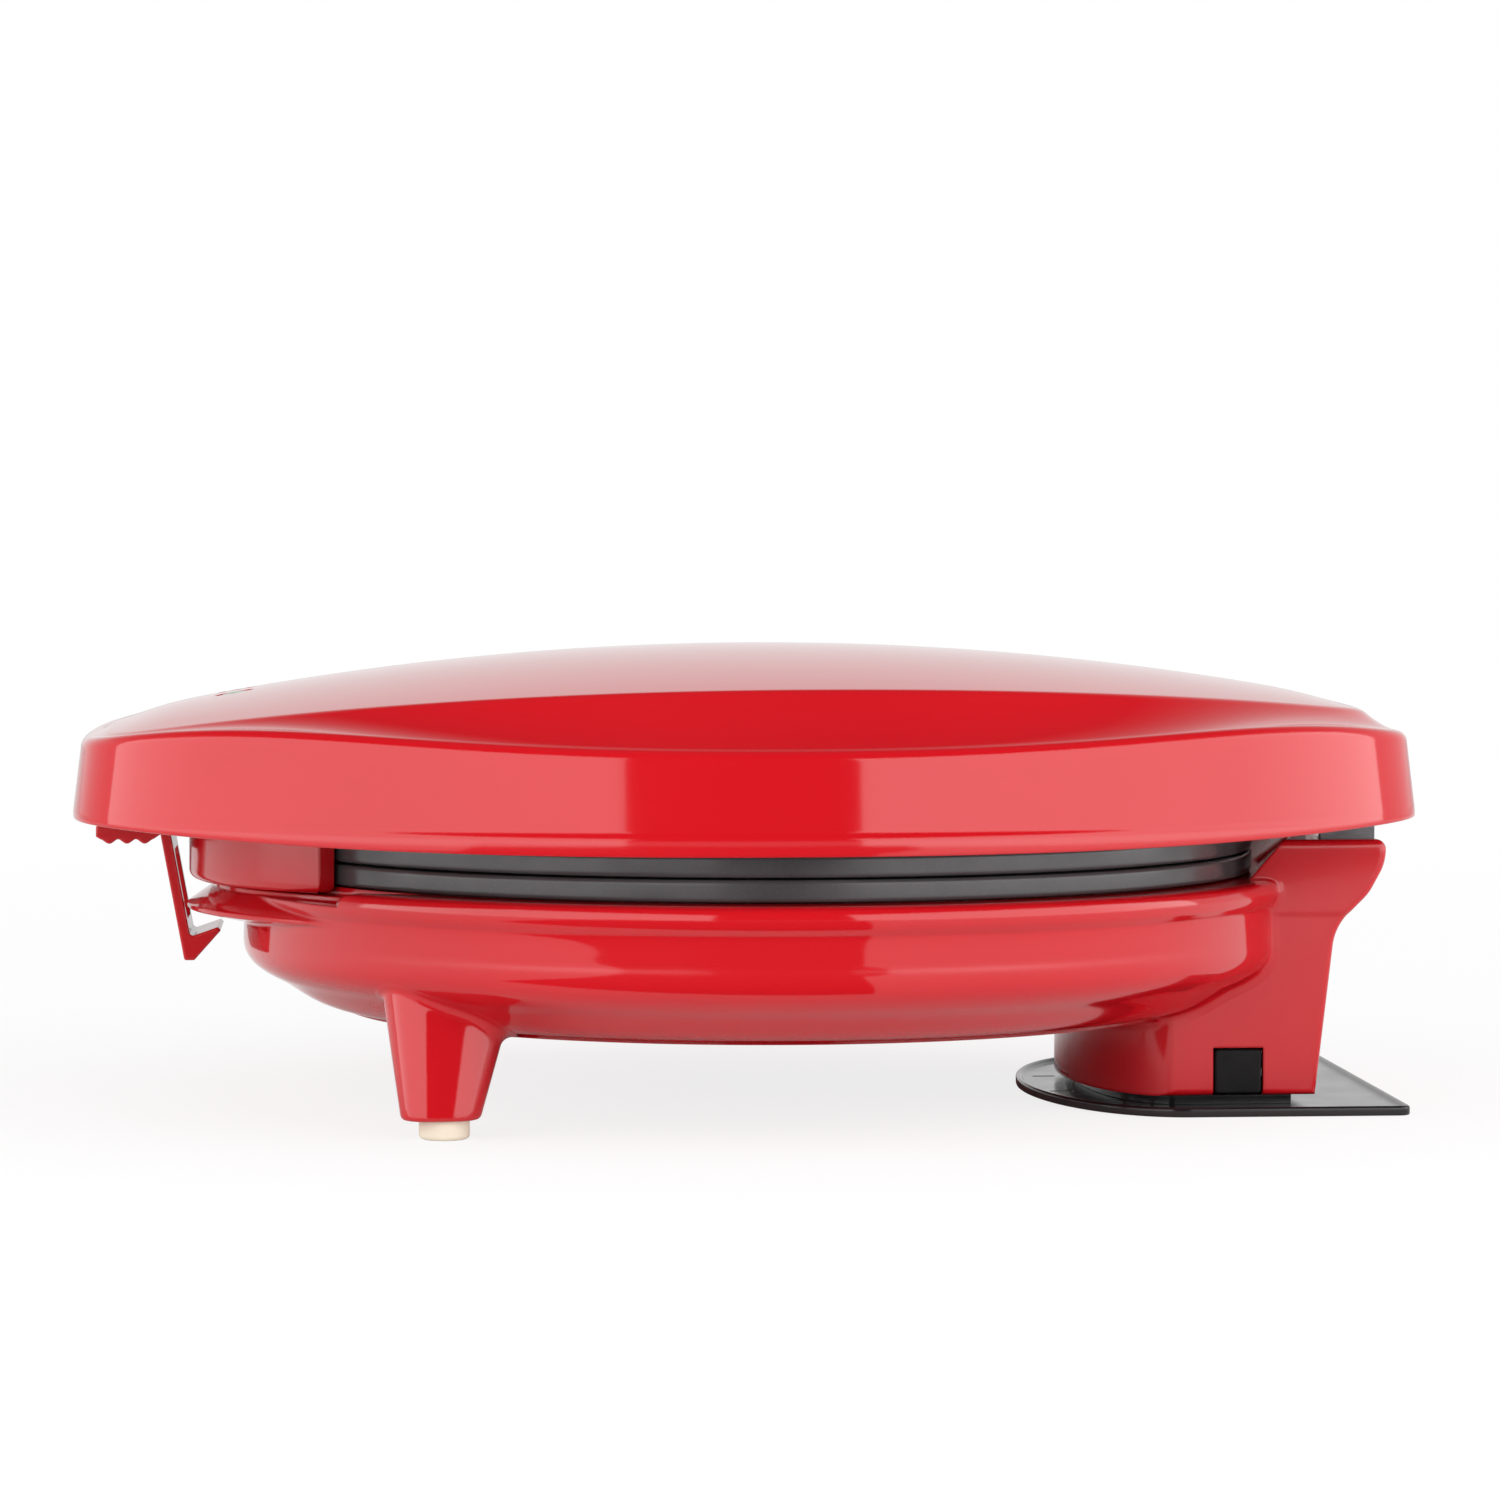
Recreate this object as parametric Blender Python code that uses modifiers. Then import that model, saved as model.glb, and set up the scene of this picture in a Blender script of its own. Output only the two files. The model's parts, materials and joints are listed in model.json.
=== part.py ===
# Countertop sandwich and waffle maker with a hinged lid, in metres, +Z up.
# The shapes are laid out about the middle of the round cooking plates, on the ground.
# An empty then shifts the whole maker, so that its origin is the middle of its footprint.

import math

import bmesh
import bpy
from mathutils import Matrix

for old_object in list(bpy.data.objects):
    bpy.data.objects.remove(old_object, do_unlink=True)

parts = bpy.data.collections.new("sandwich_waffle_maker")
cutters = bpy.data.collections.new("cutters")
bpy.context.scene.collection.children.link(parts)
bpy.context.scene.collection.children.link(cutters)

# Clearances and walls that several pieces share
seat_gap = 0.0003
running_gap = 0.0003
overrun = 0.003
shell_wall = 0.0025
turned_steps = 48
small_steps = 20
boss_steps = 13
block_steps = 44
reflector_steps = 32
screw_steps = 10

# Cooking plates
plate_radius = 0.109
plate_rim_height = 0.0046
lower_rim_z = 0.0509
seam_gap = 0.0004
plate_overhang = 0.0060
plate_depth = 0.0096
plate_rim_width = 0.0110
plate_recess_depth = 0.0024
plate_edge_round = 0.0009
pocket_pitch = 0.0245
pocket_rib = 0.0040
pocket_depth = 0.0072
pocket_taper = 0.0022
cross_rib = 0.0040
pockets_each_way = 4
plate_boss_radius = 0.0045
plate_boss_circle = 0.040
screw_shank_radius = 0.0016
screw_head_radius = 0.0032
screw_head_height = 0.0018
screw_hole_gap = 0.0003

plate_body_radius = plate_radius - plate_overhang
plate_recess_radius = plate_radius - plate_rim_width
lower_seam_z = lower_rim_z + plate_rim_height
upper_seam_z = lower_seam_z + seam_gap
lower_back_z = lower_seam_z - plate_depth
upper_back_z = upper_seam_z + plate_depth
upper_rim_top_z = upper_seam_z + plate_rim_height

# Heating elements and reflectors
heater_circle = 0.068
heater_tube_radius = 0.0032
heater_leg_length = 0.0090
heater_gap_angle = math.radians(16.0)
heater_points = 25
reflector_edge_gap = 0.0050
reflector_rim_width = 0.0025
reflector_wall = 0.0008
reflector_hole_gap = 0.0030

reflector_radius = plate_body_radius - reflector_edge_gap
reflector_floor_radius = reflector_radius - reflector_rim_width

# Lower casing
casing_reach = 0.009
casing_radius = plate_radius + casing_reach
casing_bottom_z = 0.019
lip_gap = 0.0035
lip_inner_radius = plate_body_radius + lip_gap
lip_top_z = lower_rim_z - seat_gap
casing_depth = lip_top_z - casing_bottom_z
casing_wall_share = 0.985
casing_profile_shares = [
    (0.979, 1.0), (0.994, 0.978), (1.0, 0.924), (0.998, 0.864), (0.991, 0.820), (0.9864, 0.782),
    (0.985, 0.473), (0.976, 0.379), (0.958, 0.309), (0.928, 0.240), (0.881, 0.114),
    (0.839, 0.050), (0.797, 0.035), (0.784, 0.009), (0.602, 0.0),
]

# Front block of the lid and the nose of the casing below it
block_set_back = 0.050
block_centre_x = block_set_back - plate_radius
block_radius = 0.067
block_bottom_z = 0.0498
block_edge_round = 0.0018
block_plate_clearance = 0.0012
nose_reach = 0.0016
nose_top_z = 0.0477
nose_bottom_z = 0.0403
nose_tip_z = 0.0432
nose_tip_height = 0.0008
nose_bevel = 0.0062
nose_under_run = 0.0115
nose_overlap = 0.0020
nose_inner_radius = lip_inner_radius - nose_overlap

# Legs and foot pads
leg_place_shares = (-0.6186, 0.6780)
leg_x = casing_radius * leg_place_shares[0]
leg_y = casing_radius * leg_place_shares[1]
leg_top_place_shares = (-0.6017, 0.5932)
leg_top_x = casing_radius * leg_top_place_shares[0]
leg_top_y = casing_radius * leg_top_place_shares[1]
leg_bottom_z = 0.0048
leg_top_z = 0.0330
leg_bottom_radius = 0.0080
leg_top_radius = 0.0145
leg_lobe_share = 0.09
leg_points = 30
pad_radius = 0.0055
pad_edge_round = 0.0010

# Hinge tower at the rear of the casing
tower_half_width = 0.047
tower_top_z = 0.0587
tower_bottom_z = 0.0045
tower_length = 0.049
tower_foot_inset = 0.0020
tower_front_depth = 0.0196
tower_neck_lean = 0.0040
tower_foot_rear_x = casing_radius - tower_foot_inset
tower_front_x = tower_foot_rear_x - tower_length
tower_side_start_x = tower_front_x + tower_front_depth
tower_neck_x = tower_foot_rear_x + tower_neck_lean
tower_neck_z = 0.0400
tower_bulge_reach = 0.0152
tower_bulge_x = tower_foot_rear_x + tower_bulge_reach
tower_bulge_z = 0.0560
tower_belly_reach = 0.0102
tower_belly_x = tower_foot_rear_x + tower_belly_reach
tower_belly_z = 0.0478
tower_edge_round = 0.0015
tower_wall = 0.0025
tower_seat_clearance = 0.0031
tower_seat_lean = 0.0069
column_plan_points = 17

# Hinge
hinge_inset = 0.0067
hinge_x = tower_bulge_x - hinge_inset
hinge_z = 0.0545
pin_radius = 0.0020
pin_length = 0.0120
ear_y = 0.040
ear_thickness = 0.0020
ear_radius = 0.0060
ear_slot_gap = 0.0006
ear_slot_side_gap = 0.0005
ear_slot_bottom_z = 0.0460
bracket_half_width = 0.048
bracket_before = 0.0135
bracket_behind = 0.0085
bracket_front_x = hinge_x - bracket_before
bracket_rear_x = hinge_x + bracket_behind
bracket_thickness = 0.0015
bracket_screw_y = 0.028
bracket_screw_inset = 0.0040

# Lid cover
lid_front_reach = 0.034
lid_rear_reach = 0.022
lid_side_reach = 0.0005
lid_front_x = -(casing_radius + lid_front_reach)
lid_rear_x = casing_radius + lid_rear_reach
lid_widest_x = -0.0045
lid_half_width = casing_radius + lid_side_reach
lid_side_radius_shares = (1.81435, 1.6709)
lid_front_side_radius = lid_half_width * lid_side_radius_shares[0]
lid_rear_side_radius = lid_half_width * lid_side_radius_shares[1]
lid_end_bow_radius = 0.80
lid_corner_power = 34
lid_rim_z = 0.0607
lid_rim_rise = 0.0047
lid_rim_rise_power = 3
lid_tip_inset = 0.004
lid_tip_reach = -lid_front_x - lid_tip_inset
lid_skirt_height = 0.0043
lid_skirt_top_z = lid_rim_z + lid_skirt_height
lid_skirt_rise = 0.0010
lid_skirt_step = 0.0008
lid_wall_draft = 0.0017
lid_wall_height = 0.0148
lid_wall_top_z = lid_skirt_top_z + lid_wall_height
lid_wall_round = 0.0023
lid_rise = 0.0212
lid_top_z = lid_wall_top_z + lid_rise
lid_dome_radius = 0.670
crease_side_inset = 0.0165
crease_half_width = lid_half_width - crease_side_inset
crease_radius_shares = (2.64706, 2.0098)
crease_front_radius = crease_half_width * crease_radius_shares[0]
crease_rear_radius = crease_half_width * crease_radius_shares[1]
crease_front_inset = 0.0055
crease_rear_inset = 0.0100
crease_least_inset = 0.0026
shoulder_hollow = 0.0008
lid_points = 60
lid_turn_weight = 0.9

# Lid frame, the inner moulding that closes the lid from below
frame_bottom_z = 0.0656
frame_sheet = 0.0024
frame_inset = 0.0041
frame_hole_gap = 0.0010
frame_skirt_wall = 0.0038
frame_hole_radius = plate_body_radius + frame_hole_gap
frame_skirt_radius = frame_hole_radius + frame_skirt_wall
frame_screw_shares = [(-1.0593, 0.3814), (-0.5593, 0.8305), (1.0169, 0.4915)]
frame_screw_x_y = [(casing_radius * u, casing_radius * v) for u, v in frame_screw_shares]
lid_boss_radius = 0.0040
lid_screw_radius = 0.0013
lid_screw_head_radius = 0.0030
lid_screw_head_height = 0.0014
lid_screw_length = 0.0090

# Indicator lights
light_inset = 0.034
light_x = lid_front_x + light_inset
light_y = 0.009
lens_radius = 0.0040
lens_flange_radius = 0.0058
lens_flange_height = 0.0012
lens_proud = 0.0006
lens_gap = 0.0003
lens_seat_gap = 0.0007
lamp_radius = 0.0030
lamp_length = 0.0120

# Latch clip
latch_inset = 0.0185
latch_x = lid_front_x + latch_inset
latch_z = 0.0640
latch_half_width = 0.0125
latch_hub_radius = 0.0032
latch_pin_radius = 0.0015
latch_pin_half_length = 0.0172
latch_ear_thickness = 0.0034
latch_ear_gap = 0.0005
latch_ear_radius = 0.0030
latch_thumb_length = 0.0148
latch_thumb_end_x = latch_x - latch_thumb_length
latch_thumb_top_z = 0.0616
latch_thumb_low_z = 0.0584
latch_thumb_wave = 0.0010
latch_arm_thickness = 0.0026
latch_arm_top_z = 0.0594
latch_arm_lean = 0.0044
latch_arm_bottom_x = latch_x + latch_arm_lean
latch_arm_bottom_z = 0.0316
latch_hook_inner_z = 0.0368
latch_hook_reach = 0.0125
latch_hook_tip_x = latch_x + latch_hook_reach
latch_hook_tip_z = 0.0382
latch_hook_lip = 0.0007
latch_foot_width = 0.0022
latch_notch_clearance = 0.0010
spring_coil_radius = 0.0026
spring_wire_radius = 0.0004
spring_turns = 3
spring_half_length = 0.0030
spring_slot_half_width = 0.0040

# Cord plate under the hinge column
cord_plate_front_reach = 0.009
cord_plate_rear_reach = 0.020
cord_plate_side_reach = 0.009
cord_plate_side_shift = 0.0014
cord_plate_front_x = tower_front_x - cord_plate_front_reach
cord_plate_rear_x = tower_foot_rear_x + cord_plate_rear_reach
cord_plate_half_width = tower_half_width + cord_plate_side_reach
cord_plate_side_start_x = tower_side_start_x + cord_plate_side_shift
cord_plate_thickness = 0.0013
cord_plate_corner = 0.0025
cord_plate_bead = 0.0008
cord_hub_inset = 0.0022
cord_slot_inset = 0.0050
cord_slot_x = cord_plate_front_x + cord_slot_inset
cord_slot_y = 0.0150
cord_slot_length = 0.0050
cord_slot_width = 0.0014
notch_inset = 0.0108
notch_length = 0.0110
notch_rear_x = tower_foot_rear_x - notch_inset
notch_front_x = notch_rear_x - notch_length
notch_top_z = 0.0140
gland_depth = 0.0110
gland_gap = 0.0004
base_screw_place_shares = [(0.30, 0.0), (0.88, 0.5), (0.88, -0.5)]
base_screw_length = 0.0100

# Electrical pieces inside
thermostat_x = 0.030
thermostat_radius = 0.0070
thermostat_height = 0.0090
thermostat_cap_radius = 0.0045
thermostat_cap_height = 0.0030
fuse_x = 0.006
fuse_radius = 0.0022
fuse_length = 0.0220
terminal_x = 0.050
terminal_length = 0.030
terminal_width = 0.016
terminal_height = 0.011


def paint(name, colour, roughness, metallic):
    material = bpy.data.materials.new(name)
    material.use_nodes = True
    shader = material.node_tree.nodes["Principled BSDF"]
    shader.inputs["Base Color"].default_value = (*colour, 1.0)
    shader.inputs["Roughness"].default_value = roughness
    shader.inputs["Metallic"].default_value = metallic
    return material


def add_object(name, mesh, home):
    thing = bpy.data.objects.new(name, mesh)
    home.objects.link(thing)
    if home is cutters:
        thing.hide_render = True
        thing.display_type = "WIRE"
    return thing


def finish(thing, look):
    # Gives a part its material and smooth shading with sharp creases
    colour, roughness, metallic = look
    thing.data.materials.clear()
    thing.data.materials.append(paint(thing.name, colour, roughness, metallic))
    thing.data.shade_smooth()
    return thing


def boolean(target, tool, operation):
    step = target.modifiers.new(operation.lower(), "BOOLEAN")
    step.operation = operation
    step.solver = "EXACT"
    step.object = tool


def cut(target, *tools):
    for tool in tools:
        boolean(target, tool, "DIFFERENCE")


def join(target, *tools):
    for tool in tools:
        boolean(target, tool, "UNION")


def turned(name, profile, home=cutters, x=0.0, y=0.0, steps=turned_steps, ring=False):
    # Turns a profile of (radius, height) about a vertical axis through x, y
    mesh = bpy.data.meshes.new(name)
    edges = [(i, i + 1) for i in range(len(profile) - 1)]
    if ring:
        edges.append((len(profile) - 1, 0))
    mesh.from_pydata([(radius, 0.0, z) for radius, z in profile], edges, [])
    thing = add_object(name, mesh, home)
    thing.location = (x, y, 0.0)
    screw = thing.modifiers.new("turn", "SCREW")
    screw.axis = "Z"
    screw.steps = steps
    screw.render_steps = steps
    screw.use_merge_vertices = True
    screw.merge_threshold = 0.00001
    return thing


def disc(name, radius, low_z, high_z, home=cutters, x=0.0, y=0.0, steps=small_steps):
    profile = [(0.0, high_z), (radius, high_z), (radius, low_z), (0.0, low_z)]
    return turned(name, profile, home, x, y, steps)


def boss(name, radius, hole_radius, root_z, mouth_z, hole_end_z, x, y):
    # A screw boss with a blind hole: it grows from root_z, and its mouth is at mouth_z
    profile = [(0.0, root_z), (radius, root_z), (radius, mouth_z), (hole_radius, mouth_z),
               (hole_radius, hole_end_z), (0.0, hole_end_z)]
    if root_z < mouth_z:
        profile.reverse()
    return turned(name, profile, cutters, x, y, boss_steps)


def sunk_hole(name, shank_radius, head_radius, head_height, low_z, high_z, x, y):
    # A screw's hole with a sink for its head, which enters from below
    hole = shank_radius + screw_hole_gap
    sink = head_radius + screw_hole_gap
    sink_z = low_z + head_height + seat_gap
    return turned(name, [
        (0.0, high_z + overrun), (hole, high_z + overrun), (hole, sink_z), (sink, sink_z),
        (sink, low_z - overrun), (0.0, low_z - overrun),
    ], cutters, x, y, boss_steps)


def baked(thing):
    # A curve object becomes a mesh with welded caps, in the same place
    bpy.context.view_layer.update()
    graph = bpy.context.evaluated_depsgraph_get()
    mesh = bpy.data.meshes.new_from_object(thing.evaluated_get(graph))
    shape = bmesh.new()
    shape.from_mesh(mesh)
    bmesh.ops.remove_doubles(shape, verts=shape.verts, dist=0.000001)
    bmesh.ops.recalc_face_normals(shape, faces=shape.faces)
    shape.to_mesh(mesh)
    shape.free()
    name, home, place = thing.name, thing.users_collection[0], thing.matrix_world.copy()
    bpy.data.objects.remove(thing, do_unlink=True)
    solid = add_object(name, mesh, home)
    solid.matrix_world = place
    return solid


def prism(name, outline, low, high, home=cutters, along="Z"):
    # A flat outline with a thickness: in plan along Z, or in side view along Y
    curve = bpy.data.curves.new(name, "CURVE")
    curve.dimensions = "2D"
    curve.fill_mode = "BOTH"
    curve.extrude = (high - low) / 2
    spline = curve.splines.new("POLY")
    spline.points.add(len(outline) - 1)
    for point, (u, v) in zip(spline.points, outline):
        point.co = (u, v, 0.0, 1.0)
    spline.use_cyclic_u = True
    thing = add_object(name, curve, home)
    middle = (high + low) / 2
    if along == "Z":
        thing.location = (0.0, 0.0, middle)
    else:
        thing.location = (0.0, middle, 0.0)
        thing.rotation_euler = (math.pi / 2, 0.0, 0.0)
    return baked(thing)


def box(name, low, high, home=cutters):
    outline = [(low[0], low[1]), (high[0], low[1]), (high[0], high[1]), (low[0], high[1])]
    return prism(name, outline, low[2], high[2], home)


def tube(name, points, radius, home=cutters, resolution=2):
    curve = bpy.data.curves.new(name, "CURVE")
    curve.dimensions = "3D"
    curve.bevel_depth = radius
    curve.bevel_resolution = resolution
    curve.use_fill_caps = True
    spline = curve.splines.new("POLY")
    spline.points.add(len(points) - 1)
    for point, place in zip(spline.points, points):
        point.co = (*place, 1.0)
    return baked(add_object(name, curve, home))


def arc(centre, radius, start, end, count):
    angles = [start + (end - start) * i / (count - 1) for i in range(count)]
    return [(centre[0] + radius * math.cos(a), centre[1] + radius * math.sin(a)) for a in angles]


def offset_profile(points, distance):
    # Moves each point of a profile that runs down its outer side inwards, square to it
    moved = []
    for i, (r, z) in enumerate(points):
        r0, z0 = points[max(i - 1, 0)]
        r1, z1 = points[min(i + 1, len(points) - 1)]
        length = math.hypot(r1 - r0, z1 - z0)
        moved.append((r + (z1 - z0) / length * distance, z - (r1 - r0) / length * distance))
    return moved


# Finishes: colour, roughness, metallic
red_gloss = ((0.72, 0.012, 0.02), 0.12, 0.0)
red_satin = ((0.68, 0.012, 0.02), 0.22, 0.0)
plate_coat = ((0.045, 0.044, 0.046), 0.42, 0.0)
black_plastic = ((0.03, 0.029, 0.032), 0.38, 0.0)
cream_rubber = ((0.72, 0.66, 0.54), 0.65, 0.0)
zinc_steel = ((0.56, 0.56, 0.57), 0.32, 1.0)
element_steel = ((0.30, 0.29, 0.27), 0.45, 1.0)
aluminium = ((0.72, 0.72, 0.73), 0.30, 1.0)
spring_steel = ((0.55, 0.55, 0.56), 0.28, 1.0)
ceramic_white = ((0.78, 0.76, 0.70), 0.50, 0.0)
lens_red = ((0.60, 0.02, 0.02), 0.10, 0.0)
lens_green = ((0.03, 0.42, 0.08), 0.10, 0.0)
lamp_glass = ((0.75, 0.70, 0.62), 0.12, 0.0)


# Lid outline: two side arcs, and a bowed face at each end, with rounded corners between
def ray_to_circle(angle, centre_x, centre_y, radius):
    along = centre_x * math.cos(angle) + centre_y * math.sin(angle)
    return along + math.sqrt(along ** 2 - centre_x ** 2 - centre_y ** 2 + radius ** 2)


def lid_reach(angle, half_width, front_radius, rear_radius, front_inset, rear_inset):
    side = abs(math.atan2(math.sin(angle), math.cos(angle)))
    if side > math.atan2(half_width, lid_widest_x):
        radius = front_radius
    else:
        radius = rear_radius
    to_side = ray_to_circle(side, lid_widest_x, half_width - radius, radius)
    if math.cos(side) < 0.0:
        centre_x = lid_front_x + front_inset + lid_end_bow_radius
    else:
        centre_x = lid_rear_x - rear_inset - lid_end_bow_radius
    to_end = ray_to_circle(side, centre_x, 0.0, lid_end_bow_radius)
    power = lid_corner_power
    return to_side * (1 + (to_side / to_end) ** power) ** (-1 / power)


def wall_reach(angle, inset):
    return lid_reach(angle, lid_half_width - inset, lid_front_side_radius - inset,
                     lid_rear_side_radius - inset, inset, inset)


def crease_reach(angle):
    # The ridge keeps a least distance from the wall's rounded top edge
    reach = lid_reach(angle, crease_half_width, crease_front_radius, crease_rear_radius,
                      crease_front_inset, crease_rear_inset)
    edge = wall_reach(angle, lid_skirt_step + lid_wall_draft + lid_wall_round)
    return min(reach, edge - crease_least_inset)


def dome_z(x, y):
    return lid_top_z - (x * x + y * y) / (2 * lid_dome_radius)


def lid_angles(count):
    # Places the points of the outline closer together where it turns
    fine = [2 * math.pi * i / (count * count) for i in range(count * count + 1)]
    spots = [(wall_reach(a, 0.0) * math.cos(a), wall_reach(a, 0.0) * math.sin(a)) for a in fine]
    headings = [math.atan2(q[1] - p[1], q[0] - p[0]) for p, q in zip(spots, spots[1:])]
    total_length = sum(math.dist(p, q) for p, q in zip(spots, spots[1:]))
    measure = [0.0]
    for i, heading in enumerate(headings):
        turn = abs((heading - headings[i - 1] + math.pi) % (2 * math.pi) - math.pi)
        length = math.dist(spots[i], spots[i + 1]) / total_length
        measure.append(measure[-1] + length + lid_turn_weight * turn / (2 * math.pi))
    chosen = []
    for k in range(count):
        wanted = measure[-1] * (k + 0.5) / count
        i = next(j for j, value in enumerate(measure) if value >= wanted)
        chosen.append(fine[i])
    return chosen


def rim_share(angle):
    x = wall_reach(angle, 0.0) * math.cos(angle)
    return min(abs(x - lid_widest_x) / lid_tip_reach, 1.0) ** lid_rim_rise_power


def lid_rings(angles):
    rings = []

    def ring(reach, height):
        rings.append([(reach(a) * math.cos(a), reach(a) * math.sin(a), height(a)) for a in angles])

    def skirt_top(a):
        return lid_skirt_top_z + lid_skirt_rise * rim_share(a)

    draft = lid_skirt_step + lid_wall_draft
    ring(lambda a: wall_reach(a, 0.0), lambda a: lid_rim_z + lid_rim_rise * rim_share(a))
    ring(lambda a: wall_reach(a, 0.0), lambda a: skirt_top(a) - lid_skirt_step / 2)
    ring(lambda a: wall_reach(a, lid_skirt_step), lambda a: skirt_top(a) + lid_skirt_step / 2)
    ring(lambda a: wall_reach(a, draft), lambda a: lid_wall_top_z)
    ring(lambda a: wall_reach(a, draft + lid_wall_round * 0.3),
         lambda a: lid_wall_top_z + lid_wall_round * 0.7)
    ring(lambda a: wall_reach(a, draft + lid_wall_round), lambda a: lid_wall_top_z + lid_wall_round)
    low = rings[-1]
    crease = []
    for a in angles:
        x, y = crease_reach(a) * math.cos(a), crease_reach(a) * math.sin(a)
        crease.append((x, y, dome_z(x, y)))
    middle = []
    for p, q in zip(low, crease):
        width = math.dist(p, q) / (crease_rear_inset + crease_front_inset)
        sink = shoulder_hollow * min(width, 1.0)
        middle.append(((p[0] + q[0]) / 2, (p[1] + q[1]) / 2, (p[2] + q[2]) / 2 - sink))
    rings.append(middle)
    rings.append(crease)
    for share in (0.72, 0.38):
        rings.append([(x * share, y * share, dome_z(x * share, y * share)) for x, y, z in crease])
    return rings


def make_lid_shell():
    # The wall, shoulder and dome are unlike sections, so this one shape is a loft
    rings = lid_rings(lid_angles(lid_points))
    shape = bmesh.new()
    rows = [[shape.verts.new(point) for point in ring] for ring in rings]
    for lower, upper in zip(rows, rows[1:]):
        for i in range(lid_points):
            j = (i + 1) % lid_points
            shape.faces.new((lower[i], lower[j], upper[j], upper[i]))
    top = shape.verts.new((0.0, 0.0, lid_top_z))
    for i in range(lid_points):
        shape.faces.new((rows[-1][i], rows[-1][(i + 1) % lid_points], top))
    mesh = bpy.data.meshes.new("lid_shell")
    shape.to_mesh(mesh)
    shape.free()
    shell = add_object("lid_shell", mesh, parts)
    wall = shell.modifiers.new("wall", "SOLIDIFY")
    wall.thickness = shell_wall
    wall.offset = -1.0
    wall.use_even_offset = True
    boss_bottom_z = frame_bottom_z + frame_sheet + seat_gap
    for n, (x, y) in enumerate(frame_screw_x_y):
        for side in (1, -1):
            boss_top_z = dome_z(x, y) - shell_wall / 2
            if math.hypot(x, y) > crease_reach(math.atan2(y, x)) - lid_boss_radius:
                boss_top_z = lid_wall_top_z + lid_wall_round + shell_wall / 2
            name = f"lid_boss_{n}_{side}"
            join(shell, boss(name, lid_boss_radius, lid_screw_radius + screw_hole_gap, boss_top_z,
                             boss_bottom_z, boss_bottom_z + lid_screw_length, x, side * y))
    for side in (1, -1):
        hole = disc(f"lens_hole_{side}", lens_radius + lens_gap, -shell_wall - overrun, overrun)
        place_on_dome(hole, light_x, side * light_y)
        cut(shell, hole)
    return finish(shell, red_gloss)


def place_on_dome(thing, x, y):
    thing.location = (x, y, dome_z(x, y))
    thing.rotation_euler = (-math.asin(y / lid_dome_radius), math.asin(x / lid_dome_radius), 0.0)


def make_lights():
    lights = []
    for name, side, colour in (("power", 1, lens_red), ("ready", -1, lens_green)):
        y = side * light_y
        below = -shell_wall - lens_seat_gap
        lens = turned(name + "_lens", [
            (0.0, lens_proud), (lens_radius / 2, lens_proud * 0.85), (lens_radius, 0.0),
            (lens_radius, below), (lens_flange_radius, below),
            (lens_flange_radius, below - lens_flange_height), (0.0, below - lens_flange_height),
        ], parts, steps=small_steps)
        place_on_dome(lens, light_x, y)
        lamp_top = below - lens_flange_height - seat_gap
        lamp = turned(name + "_lamp", [
            (0.0, lamp_top), (lamp_radius * 0.7, lamp_top - lamp_radius * 0.2),
            (lamp_radius, lamp_top - lamp_radius), (lamp_radius, lamp_top - lamp_length),
            (0.0, lamp_top - lamp_length),
        ], parts, steps=small_steps)
        place_on_dome(lamp, light_x, y)
        lights += [finish(lens, colour), finish(lamp, lamp_glass)]
    return lights


def crescent(name, radius, low_z, high_z, inner_radius, edge_round=0.0):
    # Round about the block's centre, less the space of the plates: the block and nose are this
    profile = [(0.0, high_z), (radius, high_z), (radius, low_z + edge_round)]
    if edge_round:
        profile.append((radius - edge_round * 0.3, low_z + edge_round * 0.3))
    profile += [(radius - edge_round, low_z), (0.0, low_z)]
    body = turned(name, profile, cutters, block_centre_x, steps=block_steps)
    cut(body, disc(name + "_plate_space", inner_radius, low_z - overrun, high_z + overrun,
                   steps=turned_steps))
    return body


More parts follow.
